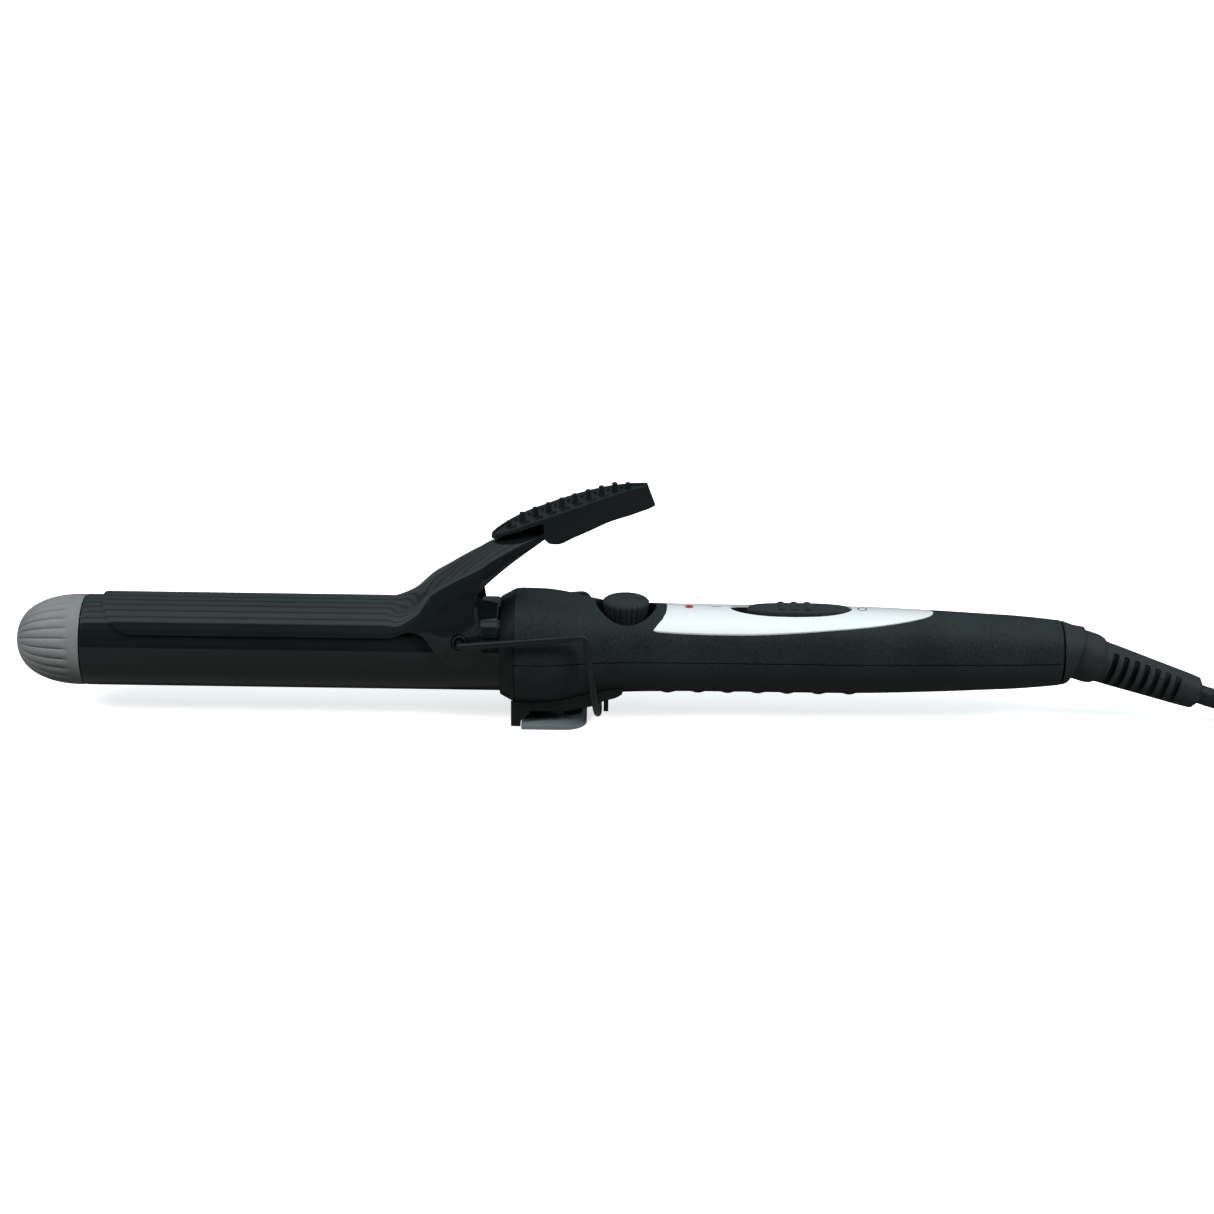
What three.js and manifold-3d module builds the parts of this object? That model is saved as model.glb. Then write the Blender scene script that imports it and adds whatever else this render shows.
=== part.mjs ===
// Curling iron with a sprung clip, a folding wire stand, a heat dial, a sliding switch and a
// swivel cord. Units are millimetres. +X runs along the barrel from the cool tip to the cord and
// +Z is up. The origin is on the underside of the rest plate, which stands on the table.
import * as THREE from "three";
import { mergeVertices } from "three/addons/utils/BufferGeometryUtils.js";
import Module from "manifold-3d";

const wasm = await Module();
wasm.setup();

// ---- driving dimensions; heights are measured from the barrel axis -----------------------------
const AXIS_Z = 20.5; // height of the barrel axis over the table
const GAP = 0.3; // clearance kept between neighbouring pieces
const WALL = 2; // plastic wall

const BARREL_R = 12.5;
const BARREL_BORE = 11.3;
const BARREL_FRONT = -128.8;
const BARREL_REAR = -5;
const TIP_NOSE = -148;
const TIP_POWER = 2.35; // of the superellipse its dome follows: 2 is a plain ellipse

const CLIP_R = 13.4;
const CLIP_THICKNESS = 0.6;
const SPOON_HALF_ANGLE = 64;
const SHOULDER_ANGLE = 36;
const SPOON_NOSE = -123.7;
const SPOON_NOSE_DEPTH = 9.5;
const SPOON_REAR = -47;
const ARM_END = -3.6;

const PIVOT = { x: -25.7, z: 5.8 };
const PIN_R = 2;
const PIN_BORE = 1.3;

const SADDLE_FRONT = -38;
const SADDLE_REAR = -15.5;
const COLLAR_FRONT = -15.1;
const SHELL_FRONT = -11;
const SHELL_REAR = 138.4;
const PARTING = 0.15; // half the gap between the two handle shells

const DIAL = { x: 19.1, topR: 6.45, lowR: 4.9, low: 7, top: 14.1, pocketR: 8.4, floor: 6.5 };
const SWITCH = { front: 47.5, rear: 81, halfWidth: 4.75, floor: 9, travel: 4 };
const SLIDER = { front: 52.3, rear: 80.6, halfWidth: 4.15, top: 12.5 };
const LAMP = { x: 36.4, r: 1.05 };

const HEEL_HALF_WIDTH = 8.8;
const POST = { front: -12, rear: -9.4 };
const SOLE = { front: -9.1, rear: 8.8, halfWidth: 11, corner: 6, thickness: 1 };
const SOLE_SCREWS = [-5.2, 4.6];
const SHELL_SCREWS = [{ x: 0.2, head: -17.4, tip: 7 }, { x: 112, head: -10.3, tip: 6 }];

const WIRE_R = 0.95;
const STAND_HALF_WIDTH = 17.5;
const STAND_CORNER = { x: 8.5, z: 9 };
const STAND_BOTTOM = { x: 12, z: -18.5 };

const RELIEF_TILT = THREE.MathUtils.degToRad(18.3);
const RELIEF_START = { x: 143, z: 0 };
const RELIEF_LENGTH = 36.6;

const CORD_R = 2.75;
const HANK = { front: 235, rear: 327, turnR: 22.1, low: 1.2, high: 17.9 };
const WAIST = { x: 264, reach: 29, depth: 7 };
const PLUG = { rear: 314, face: 350, y: -9, low: 18.2, halfWidth: 12.5, height: 13.4 };

// Radius of the handle along its length, from the bulge at the barrel to the cord end.
const HANDLE_PROFILE = [
  [-11, 15.7], [-9.5, 15.9], [-3, 15.8], [0.7, 15.4], [5.4, 14.5], [11, 13.2], [18, 12.5],
  [30, 12.1], [75, 12], [92, 11.7], [108, 11.05], [124, 10.25], [138.4, 9],
];

// ---- shape helpers -------------------------------------------------------------------------------
function solidOf(geometry) {
  const bare = geometry.index ? geometry.toNonIndexed() : geometry.clone();
  bare.deleteAttribute("normal");
  bare.deleteAttribute("uv");
  const merged = mergeVertices(bare, 1e-4);
  const triVerts = new Uint32Array(merged.index.array);
  const vertProperties = merged.attributes.position.array;
  return new wasm.Manifold(new wasm.Mesh({ numProp: 3, vertProperties, triVerts }));
}

function geometryOf(solid) {
  const mesh = solid.getMesh();
  const geometry = new THREE.BufferGeometry();
  geometry.setAttribute("position", new THREE.BufferAttribute(mesh.vertProperties, 3));
  geometry.setIndex(new THREE.BufferAttribute(mesh.triVerts, 1));
  geometry.computeVertexNormals();
  return geometry;
}

const join = (first, ...others) => geometryOf(others.reduce((s, g) => s.add(solidOf(g)), solidOf(first)));
const cut = (first, ...tools) => geometryOf(tools.reduce((s, g) => s.subtract(solidOf(g)), solidOf(first)));
const common = (first, ...others) =>
  geometryOf(others.reduce((s, g) => s.intersect(solidOf(g)), solidOf(first)));

// A profile of [distance along the axis, radius] turned about X, Y or Z. Its distance grows along
// the outside, and a ring's profile comes back along its bore to the first point.
function turned(profile, axis, segments = 32) {
  const lathe = new THREE.LatheGeometry(profile.map(([along, r]) => new THREE.Vector2(r, along)), segments);
  if (axis === "x") lathe.rotateZ(-Math.PI / 2);
  if (axis === "z") lathe.rotateX(Math.PI / 2);
  return lathe;
}

const rod = (from, to, r, axis, segments = 24) =>
  turned([[from, 0], [from, r], [to, r], [to, 0]], axis, segments);

const ring = (from, to, outer, bore, axis, segments = 32) =>
  turned([[from, outer], [to, outer], [to, bore], [from, bore], [from, outer]], axis, segments);

const box = (x0, x1, y0, y1, z0, z1) =>
  new THREE.BoxGeometry(x1 - x0, y1 - y0, z1 - z0)
    .translate((x0 + x1) / 2, (y0 + y1) / 2, (z0 + z1) / 2);

const shapeOf = (points) => new THREE.Shape(points.map(([u, v]) => new THREE.Vector2(u, v)));

// An outline in plan, between two heights.
const plate = (shape, z0, z1) =>
  new THREE.ExtrudeGeometry(shape, { depth: z1 - z0, bevelEnabled: false, curveSegments: 6 })
    .translate(0, 0, z0);

// A side-view outline of [x, z] points, as wide as twice halfWidth.
const slab = (points, halfWidth) =>
  new THREE.ExtrudeGeometry(shapeOf(points), { depth: 2 * halfWidth, bevelEnabled: false })
    .rotateX(Math.PI / 2)
    .translate(0, halfWidth, 0);

function roundedRect(x0, x1, halfWidth, corner) {
  const shape = new THREE.Shape();
  shape.moveTo(x0 + corner, -halfWidth);
  shape.lineTo(x1 - corner, -halfWidth);
  shape.absarc(x1 - corner, corner - halfWidth, corner, -Math.PI / 2, 0);
  shape.absarc(x1 - corner, halfWidth - corner, corner, 0, Math.PI / 2);
  shape.absarc(x0 + corner, halfWidth - corner, corner, Math.PI / 2, Math.PI);
  shape.absarc(x0 + corner, corner - halfWidth, corner, Math.PI, 1.5 * Math.PI);
  return shape;
}

function tube(path, radius, sides, steps) {
  const section = Array.from({ length: sides }, (_, i) => {
    const angle = (2 * Math.PI * i) / sides;
    return [radius * Math.cos(angle), radius * Math.sin(angle)];
  });
  return new THREE.ExtrudeGeometry(shapeOf(section), { steps, extrudePath: path, bevelEnabled: false });
}

const smoothPath = (points) =>
  new THREE.CatmullRomCurve3(points.map((p) => new THREE.Vector3(...p)), false, "centripetal");

// Straight stretches between points, with each corner rounded to the given reach.
function bentPath(points, reach) {
  const corners = points.map((p) => new THREE.Vector3(...p));
  const path = new THREE.CurvePath();
  let from = corners[0];
  for (let i = 1; i < corners.length - 1; i++) {
    const corner = corners[i];
    const before = from.clone().sub(corner).setLength(reach).add(corner);
    const after = corners[i + 1].clone().sub(corner).setLength(reach).add(corner);
    path.add(new THREE.LineCurve3(from, before));
    path.add(new THREE.QuadraticBezierCurve3(before, corner, after));
    from = after;
  }
  path.add(new THREE.LineCurve3(from, corners[corners.length - 1]));
  return path;
}

function surfaceGeometry(vertices, triangles) {
  const geometry = new THREE.BufferGeometry();
  geometry.setAttribute("position", new THREE.Float32BufferAttribute(vertices.flat(), 3));
  geometry.setIndex(triangles.flat());
  if (solidOf(geometry).volume() > 0) return geometry;
  return surfaceGeometry(vertices, triangles.map(([a, b, c]) => [a, c, b]));
}

// A solid through rings of the same number of points, closed by a fan at each end.
function loft(rings) {
  const count = rings[0].length;
  const last = rings.length - 1;
  const triangles = [];
  for (let i = 0; i < last; i++)
    for (let j = 0; j < count; j++) {
      const a = i * count + j;
      const b = i * count + ((j + 1) % count);
      triangles.push([a, b, b + count], [a, b + count, a + count]);
    }
  for (let j = 1; j < count - 1; j++) {
    triangles.push([0, j + 1, j], [last * count, last * count + j, last * count + j + 1]);
  }
  return surfaceGeometry(rings.flat(), triangles);
}

// A sheet of even thickness below a grid of points, closed along its four edges.
function sheet(grid, thickness) {
  const rows = grid.length;
  const columns = grid[0].length;
  const at = (i, j) => new THREE.Vector3(...grid[i][j]);
  const top = [];
  const under = [];
  for (let i = 0; i < rows; i++)
    for (let j = 0; j < columns; j++) {
      const along = at(Math.min(i + 1, rows - 1), j).sub(at(Math.max(i - 1, 0), j));
      const across = at(i, Math.min(j + 1, columns - 1)).sub(at(i, Math.max(j - 1, 0)));
      const inward = along.cross(across).setLength(thickness);
      top.push(grid[i][j]);
      under.push(at(i, j).sub(inward).toArray());
    }
  const offset = rows * columns;
  const triangles = [];
  const quad = (a, b, c, d) => triangles.push([a, b, c], [a, c, d]);
  for (let i = 0; i < rows - 1; i++)
    for (let j = 0; j < columns - 1; j++) {
      const a = i * columns + j;
      quad(a, a + columns, a + columns + 1, a + 1);
      quad(a + offset, a + 1 + offset, a + columns + 1 + offset, a + columns + offset);
    }
  for (let i = 0; i < rows - 1; i++) {
    const left = i * columns;
    const right = left + columns - 1;
    quad(left, left + offset, left + columns + offset, left + columns);
    quad(right, right + columns, right + columns + offset, right + offset);
  }
  for (let j = 0; j < columns - 1; j++) {
    const rear = (rows - 1) * columns + j;
    quad(j, j + 1, j + 1 + offset, j + offset);
    quad(rear, rear + offset, rear + 1 + offset, rear + 1);
  }
  return surfaceGeometry([...top, ...under], triangles);
}

// ---- barrel and what is in it --------------------------------------------------------------------
const pinHole = (r) => rod(-20, 20, r, "y", 20).translate(PIVOT.x, 0, PIVOT.z);

const barrel = () =>
  cut(ring(BARREL_FRONT, BARREL_REAR, BARREL_R, BARREL_BORE, "x", 48), pinHole(PIN_R + GAP));

// The dome of the tip is a blunt superellipse, with a spigot in the barrel behind it.
function coolTip() {
  const seam = BARREL_FRONT - GAP;
  const profile = [[TIP_NOSE, 0]];
  for (let i = 1; i <= 7; i++) {
    const angle = (i * Math.PI) / 14;
    const [along, out] = [Math.cos(angle), Math.sin(angle)].map((v) => v ** (2 / TIP_POWER));
    profile.push([seam - (seam - TIP_NOSE) * along, BARREL_R * out]);
  }
  const spigot = { r: BARREL_BORE - GAP, bore: 8, rear: seam + 8 };
  profile.push([seam, spigot.r], [spigot.rear, spigot.r], [spigot.rear, spigot.bore], [seam, spigot.bore],
    [seam - 4, 0]);
  return turned(profile, "x", 28);
}

const HEATER = { front: -110, rear: -50, halfWidth: 5, halfHeight: 1.3 };

function heaterCore() {
  const { front, rear, halfWidth, halfHeight } = HEATER;
  return box(front, rear, -halfWidth, halfWidth, -halfHeight, halfHeight);
}

// An aluminium profile that presses one face of the heater against the barrel wall.
function heatSpreader(side) {
  const seat = HEATER.halfHeight + GAP;
  const below = box(-120, -40, -15, 15, -15, seat);
  const rim = cut(ring(HEATER.front, HEATER.rear, BARREL_BORE - GAP, 9.5, "x", 32), below);
  const pad = box(HEATER.front, HEATER.rear, -6, 6, seat, seat + 1.8);
  const web = box(HEATER.front, HEATER.rear, -0.9, 0.9, seat + 1, 9.8);
  const spreader = join(rim, pad, web);
  return side > 0 ? spreader : spreader.rotateX(Math.PI);
}

const thermalFuse = () =>
  turned([[-44, 0], [-44, 0.5], [-42.5, 0.6], [-42, 2], [-33, 2], [-32.5, 0.6], [-31, 0.5], [-31, 0]],
    "x", 12).translate(0, 0, 3);

const thermistor = () =>
  turned([[-48.5, 0], [-48.2, 1], [-47.2, 1.4], [-46.2, 1], [-45, 0.4], [-38, 0.4], [-38, 0]], "x", 10)
    .translate(0, 0, -4);

// From the end of the heater under the spring's pins to the board in the handle.
function heaterLead(side) {
  const route = [[-49.4, 3.4, 0], [-44, 3.6, -2.4], [-32, 4, -4.2], [-8, 4, -4.2], [6, 5, -4.6],
    [24, 5, -4.2]];
  return tube(smoothPath(route.map(([x, y, z]) => [x, y * side, z])), 0.8, 6, 16);
}

const ceramicBush = () => ring(-14, -6, BARREL_BORE - GAP, 7, "x", 28);
const heatShield = () => ring(SHELL_FRONT + 0.6, -4.8, 13.4, BARREL_R + GAP, "x", 36);

const frontCollar = () =>
  turned([[COLLAR_FRONT, 13.5], [-11.4, 15.7], [-11.4, BARREL_R + GAP], [COLLAR_FRONT, BARREL_R + GAP],
    [COLLAR_FRONT, 13.5]], "x", 40);

// A half sleeve on the root of the barrel, with two lugs that carry the pivot pins.
function pivotSaddle() {
  const sleeve = ring(SADDLE_FRONT, SADDLE_REAR, CLIP_R, BARREL_R + 0.2, "x", 48);
  const below = box(SADDLE_FRONT - 1, SADDLE_REAR + 1, -20, 20, -20, 0.8);
  const front = box(SADDLE_FRONT - 1, PIVOT.x - 5, -20, 20, 0, 6.4);
  const rear = box(PIVOT.x + 5, SADDLE_REAR + 1, -20, 20, 0, 6.4);
  return cut(sleeve, below, front, rear, pinHole(PIN_R + GAP));
}

// A hollow rivet: a tail flange in the barrel, and a bore for the end of the wire stand.
const pivotPin = (side) =>
  turned([[6.3, 2.7], [7.1, 2.7], [7.1, PIN_R], [14.6, PIN_R], [14.6, PIN_BORE], [6.3, PIN_BORE], [6.3, 2.7]],
    "y", 16)
    .rotateX(side > 0 ? 0 : Math.PI)
    .translate(PIVOT.x, 0, PIVOT.z);

// ---- clip ----------------------------------------------------------------------------------------
// Each row of the lever arm: its lower edge, its shoulder and its crown, and how far its wall bulges.
const ARM_ROWS = [
  { edge: [-44, 12.1, 6.1], shoulder: [-44, 7.9, 11], crown: [-44, 13.45], bulge: 0.4 },
  { edge: [-40.3, 12.4, 7.7], shoulder: [-40.3, 8.1, 12.7], crown: [-40.7, 14.5], bulge: 0.5 },
  { edge: [-37.9, 12.8, 7.7], shoulder: [-37.9, 8.3, 14.3], crown: [-38.4, 15.6], bulge: 0.7 },
  { edge: [-35.6, 13.2, 6.8], shoulder: [-35.8, 8.5, 16.4], crown: [-36.3, 17.3], bulge: 1 },
  { edge: [-33.6, 13.7, 4.4], shoulder: [-34, 8.6, 18], crown: [-34.5, 19], bulge: 1.3 },
  { edge: [-31.6, 14, 1.4], shoulder: [-32.2, 8.7, 19.2], crown: [-32.9, 20.2], bulge: 1.5 },
  { edge: [-29, 14.2, -0.8], shoulder: [-30.2, 8.7, 20.3], crown: [-31, 21.5], bulge: 1.6 },
  { edge: [-25.7, 14.3, -1.7], shoulder: [-28, 8.6, 21.4], crown: [-28.7, 23.1], bulge: 1.7 },
  { edge: [-22.3, 14.2, -0.1], shoulder: [-26, 8.5, 22.3], crown: [-26.7, 24.5], bulge: 1.7 },
  { edge: [-19.9, 14.1, 3], shoulder: [-24.2, 8.4, 23.2], crown: [-25, 25.6], bulge: 1.6 },
  { edge: [-19.3, 14, 6.3], shoulder: [-22.8, 8.3, 23.9], crown: [-23.5, 26.5], bulge: 1.4 },
  { edge: [-20, 13.5, 9.6], shoulder: [-21.4, 8.2, 24.5], crown: [-22, 27.4], bulge: 1.1 },
  { edge: [-21.6, 12.3, 13], shoulder: [-20, 8, 25.2], crown: [-20.6, 28.2], bulge: 0.8 },
  { edge: [-21.7, 11, 16.4], shoulder: [-18.4, 7.8, 26.1], crown: [-18.9, 29.3], bulge: 0.6 },
  { edge: [-20, 9.9, 19.3], shoulder: [-16.8, 7.5, 27], crown: [-17.1, 30.3], bulge: 0.4 },
  { edge: [-15.8, 8.7, 23.1], shoulder: [-13, 6.9, 29.1], crown: [-13.2, 32.2], bulge: 0.3 },
  { edge: [-11.1, 7.5, 26.8], shoulder: [-9.4, 6.3, 31], crown: [-9.4, 33.9], bulge: 0.2 },
  { edge: [-5.8, 6.4, 30.6], shoulder: [-5.8, 5.6, 32.7], crown: [-5.8, 35.2], bulge: 0.1 },
  { edge: [ARM_END, 6.1, 32.2], shoulder: [ARM_END, 5.4, 33.8], crown: [ARM_END, 36.2], bulge: 0.1 },
];
const CLIP_ANGLES = [-64, -50, -36, -24, -12, 0, 12, 24, 36, 50, 64];
const SPOON_ROWS = 5;

function spoonPoint(degrees, along) {
  const angle = THREE.MathUtils.degToRad(degrees);
  const front = SPOON_NOSE + SPOON_NOSE_DEPTH * (1 - Math.sqrt(1 - (degrees / SPOON_HALF_ANGLE) ** 2));
  return [front + (SPOON_REAR - front) * along, CLIP_R * Math.sin(angle), CLIP_R * Math.cos(angle)];
}

function armPoint(row, degrees) {
  const side = Math.sign(degrees) || 1;
  const off = Math.abs(degrees);
  const [sx, sy, sz] = row.shoulder;
  if (off <= SHOULDER_ANGLE) {
    const [cx, cz] = row.crown;
    const y = Math.sin(THREE.MathUtils.degToRad(off)) / Math.sin(THREE.MathUtils.degToRad(SHOULDER_ANGLE));
    return [cx + (sx - cx) * y * y, side * sy * y, cz + (sz - cz) * y * y];
  }
  const down = (off - SHOULDER_ANGLE) / (SPOON_HALF_ANGLE - SHOULDER_ANGLE);
  const bulge = row.bulge * 4 * down * (1 - down);
  const [ex, ey, ez] = row.edge;
  const out = new THREE.Vector2(sz - ez, ey - sy).setLength(bulge || 1e-6);
  return [sx + (ex - sx) * down, side * (sy + (ey - sy) * down + out.x), sz + (ez - sz) * down + out.y];
}

function clipSpoon() {
  const grid = [];
  for (let i = 0; i <= SPOON_ROWS; i++) grid.push(CLIP_ANGLES.map((a) => spoonPoint(a, i / SPOON_ROWS)));
  for (const row of ARM_ROWS) grid.push(CLIP_ANGLES.map((a) => armPoint(row, a)));
  const screwHole = rod(28, 38, 1.5, "z", 12).translate(THUMB_SCREW_X, 0, 0);
  return cut(sheet(grid, CLIP_THICKNESS), pinHole(PIN_R + GAP), screwHole);
}

// Each station of the thumb rest: x, half width, top and underside.
const THUMB_SCREW_X = -9.5;
const THUMB_STATIONS = [
  [-17.6, 0.7, 32.3, 31.2], [-16.8, 2.2, 32.8, 31.3], [-15.3, 3.7, 33.6, 32], [-12, 5.7, 35.2, 33.6],
  [-7.6, 6.7, 37.2, 35.4], [-3.4, 6.93, 38.8, 37], [-3.1, 6.93, 38.9, 32.6], [-1.6, 6.97, 39.5, 31.4],
  [0.2, 7, 40.2, 31.3], [5, 6.8, 41.9, 33.3], [9.8, 6.2, 43.5, 35.4], [14.2, 5.3, 44.8, 37.3],
  [20, 3.3, 46.2, 38.8],
];
const THUMB_END = { topX: 24.3, lowX: 26.6, halfWidth: 1, top: 47, low: 41 };
const PEG = { count: 10, first: -12.9, pitch: 3.56, r: 0.6, height: 2.1 };

function thumbRing(halfWidth, top, low, topX, lowX) {
  const edge = Math.min(0.5, (top - low) / 3);
  const side = (y, z) => [lowX + ((topX - lowX) * (z - low)) / (top - low), y, z];
  return [side(-0.86 * halfWidth, low), side(0.86 * halfWidth, low), side(halfWidth, low + edge),
    side(halfWidth, top - edge), side(0.8 * halfWidth, top), side(0, top), side(-0.8 * halfWidth, top),
    side(-halfWidth, top - edge), side(-halfWidth, low + edge)];
}

function thumbTop(x) {
  const i = Math.max(1, THUMB_STATIONS.findIndex((s) => s[0] > x));
  const [a, b] = [THUMB_STATIONS[i - 1], THUMB_STATIONS[i]];
  return a[2] + ((b[2] - a[2]) * (x - a[0])) / (b[0] - a[0]);
}

function thumbRest() {
  const rings = THUMB_STATIONS.map(([x, halfWidth, top, low]) => thumbRing(halfWidth, top, low, x, x));
  rings.push(thumbRing(THUMB_END.halfWidth, THUMB_END.top, THUMB_END.low, THUMB_END.topX, THUMB_END.lowX));
  const pegs = Array.from({ length: PEG.count - 1 }, (_, i) => {
    const x = PEG.first + PEG.pitch * i;
    return rod(thumbTop(x) - 0.8, thumbTop(x) + PEG.height, PEG.r, "z", 8).translate(x, 0, 0);
  });
  return cut(join(loft(rings), ...pegs), rod(30, 35.7, 1.5, "z", 12).translate(THUMB_SCREW_X, 0, 0));
}

const thumbRestScrew = () =>
  turned([[30, 0], [30, 2.3], [31.2, 2.3], [31.2, 1.2], [35.4, 1.2], [35.4, 0]], "z", 12)
    .translate(THUMB_SCREW_X, 0, 0);

// A torsion spring across the iron: a coil over the saddle, one leg on the saddle and one up the arm.
function clipSpring() {
  const coil = { x: -27, z: 17.6, r: 2.6, turns: 3.25, pitch: 1.5 };
  const points = [[-34, -2.4, 14.7], [-30.5, -2.4, 14.8]];
  const steps = Math.round(coil.turns * 8);
  for (let i = 0; i <= steps; i++) {
    const angle = -Math.PI / 2 + (2 * Math.PI * i) / 8;
    const y = -2.4 + (coil.pitch * i) / 8;
    points.push([coil.x + coil.r * Math.cos(angle), y, coil.z + coil.r * Math.sin(angle)]);
  }
  points.push([-23.6, 2.9, 21], [-22.6, 2.9, 24.2]);
  return tube(smoothPath(points), 0.45, 5, 44);
}

// ---- handle --------------------------------------------------------------------------------------
const handleOuter = (grow = 0) =>
  turned([[SHELL_FRONT, 0], ...HANDLE_PROFILE.map(([x, r]) => [x, r + grow]), [SHELL_REAR, 0]], "x", 30);

// The hollow of the handle: open at the barrel, with a bearing wall for the swivel at the cord end.
function handleHollow() {
  const bearing = { front: 133.6, r: 5.6 };
  const inside = HANDLE_PROFILE.filter(([x]) => x < bearing.front).map(([x, r]) => [x, r - WALL]);
  inside[0][0] = SHELL_FRONT - 1;
  const profile = [[SHELL_FRONT - 1, 0], ...inside, [bearing.front, 7.4], [bearing.front, bearing.r],
    [SHELL_REAR + 1, bearing.r], [SHELL_REAR + 1, 0]];
  return turned(profile, "x", 30);
}

// Plan outline of the silver trim: a slanted front edge, widest over the switch, and a rounded tail.
function trimOutline(grow) {
  const half = [[26.6, 9.1], [34, 9.25], [52, 9.3], [66, 8.8], [79, 7.9], [88, 6.8], [95, 5.3], [100, 3.6],
    [102.6, 1.8]];
  const shape = new THREE.Shape();
  shape.moveTo(30.4 - grow, 0);
  shape.lineTo(30 - grow, -4.2);
  const grown = half.map(([x, y]) => [x + (y > 9.2 ? 0 : Math.sign(x - 50) * grow), y + grow]);
  for (const [x, y] of grown) shape.lineTo(x, -y);
  shape.lineTo(103.3 + grow, 0);
  for (const [x, y] of grown.toReversed()) shape.lineTo(x, y);
  shape.lineTo(30 - grow, 4.2);
  return shape;
}

const switchOpening = (grow, low, high) =>
  plate(roundedRect(SWITCH.front - grow, SWITCH.rear + grow, SWITCH.halfWidth + grow, 4.5), low, high);

const dialPocket = () => rod(DIAL.floor, 20, DIAL.pocketR, "z", 24).translate(DIAL.x, 0, 0);

const screwBoss = (screw, from, to) => rod(from, to, 3.2, "z", 16).translate(screw.x, 0, 0);

function upperShell() {
  const outer = solidOf(handleOuter());
  const hollow = solidOf(handleHollow());
  const dialCup = solidOf(rod(DIAL.floor - 1.6, 20, DIAL.pocketR + 1.6, "z", 24).translate(DIAL.x, 0, 0));
  const tray = solidOf(box(SWITCH.front - 2, SWITCH.rear + 2, -6.6, 6.6, SWITCH.floor - 1.6, 20));
  const bosses = SHELL_SCREWS.map((screw) => solidOf(screwBoss(screw, PARTING, 20)));
  const fills = [dialCup, tray, ...bosses].map((s) => s.intersect(outer));
  let shell = fills.reduce((s, fill) => s.add(fill), outer.subtract(hollow));
  const stemHole = rod(0, 20, 3.6, "z", 20).translate(DIAL.x, 0, 0);
  const stemSlot = box(58.8, 70.6, -1.9, 1.9, 5, 20);
  const lampHole = rod(5, 20, LAMP.r + GAP, "z", 12).translate(LAMP.x, 0, 0);
  const screwHoles = SHELL_SCREWS.map((s) => rod(-1, s.tip + 1, 1.5, "z", 12).translate(s.x, 0, 0));
  const below = box(-40, 160, -30, 30, -30, PARTING);
  const trimSeat = solidOf(plate(trimOutline(GAP), 0, 20)).subtract(solidOf(handleOuter(-1.05)));
  const tools = [dialPocket(), switchOpening(0, SWITCH.floor, 20), stemHole, stemSlot, lampHole, below,
    barrelRoom(), ...screwHoles];
  for (const tool of tools) shell = shell.subtract(solidOf(tool));
  return geometryOf(shell.subtract(trimSeat));
}

// Room for the barrel where it enters the handle.
const barrelRoom = () => rod(SHELL_FRONT - 1, BARREL_REAR + 0.5, BARREL_R + 1.2, "x", 36);

function lowerShell() {
  const outer = solidOf(handleOuter());
  const bosses = SHELL_SCREWS.map((screw) => solidOf(screwBoss(screw, -20, -PARTING)).intersect(outer));
  let shell = bosses.reduce((s, boss) => s.add(boss), outer.subtract(solidOf(handleHollow())));
  const [front, rear] = SHELL_SCREWS;
  const tools = [rod(-20, 1, 1.5, "z", 12).translate(front.x, 0, 0),
    rod(-20, 1, 1.5, "z", 12).translate(rear.x, 0, 0),
    rod(-20, rear.head + 1.9, 2.9, "z", 16).translate(rear.x, 0, 0),
    box(-40, 160, -30, 30, -PARTING, 30), barrelRoom()];
  for (const tool of tools) shell = shell.subtract(solidOf(tool));
  return geometryOf(shell);
}

const shellScrew = ({ x, head, tip }) =>
  turned([[head, 0], [head, 2.5], [head + 1.5, 2.5], [head + 1.5, 1.2], [tip, 1.2], [tip, 0]], "z", 12)
    .translate(x, 0, 0);

// The trim lies in its seat, flush with the handle.
function trimPanel() {
  const skin = solidOf(handleOuter(0.05)).subtract(solidOf(handleOuter(-0.75)));
  const panel = skin.intersect(solidOf(plate(trimOutline(0), 0.5, 20)));
  const lampHole = rod(5, 20, LAMP.r + GAP, "z", 12).translate(LAMP.x, 0, 0);
  return geometryOf(panel.subtract(solidOf(switchOpening(0, 5, 20))).subtract(solidOf(lampHole)));
}

// ---- controls ------------------------------------------------------------------------------------
const controlBoard = () => box(14, 98, -8, 8, -1.6, 0);

const potentiometer = () =>
  turned([[GAP, 0], [GAP, 4.6], [3.4, 4.6], [3.4, 1.5], [8, 1.5], [8, 0]], "z", 20).translate(DIAL.x, 0, 0);

// A hollow stem below, over the potentiometer's shaft, and a cap that flares towards its top.
const dialKnob = () =>
  turned([[8.4, 0], [8.4, 1.8], [4.2, 1.8], [4.2, 3.2], [DIAL.low, 3.2], [DIAL.low, DIAL.lowR],
    [12.9, DIAL.topR], [13.5, 6.25], [13.9, 5.6], [DIAL.top, 3], [DIAL.top + 0.1, 0]], "z", 24)
    .translate(DIAL.x, 0, 0);

function switchSlider() {
  const { front, rear, halfWidth, top } = SLIDER;
  const body = plate(roundedRect(front, rear, halfWidth, 4), SWITCH.floor + GAP, top - 0.4);
  const deck = plate(roundedRect(front + 0.6, rear - 0.6, halfWidth - 0.6, 3.4), 12, top);
  const stem = box(63.8, 69.4, -1.5, 1.5, 4.4, 10);
  const humps = [61.6, 65.2, 68.8].map((x) => box(x - 0.9, x + 0.9, -2.9, 2.9, 12, 13.1));
  return join(body, deck, stem, ...humps);
}

const slideSwitch = () => box(56, 74, -4, 4, GAP, 4);

const indicatorLens = () =>
  turned([[8.8, 0], [8.8, LAMP.r], [11.9, LAMP.r], [12.2, 0.6], [12.3, 0]], "z", 12)
    .translate(LAMP.x, 0, 0);

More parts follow.
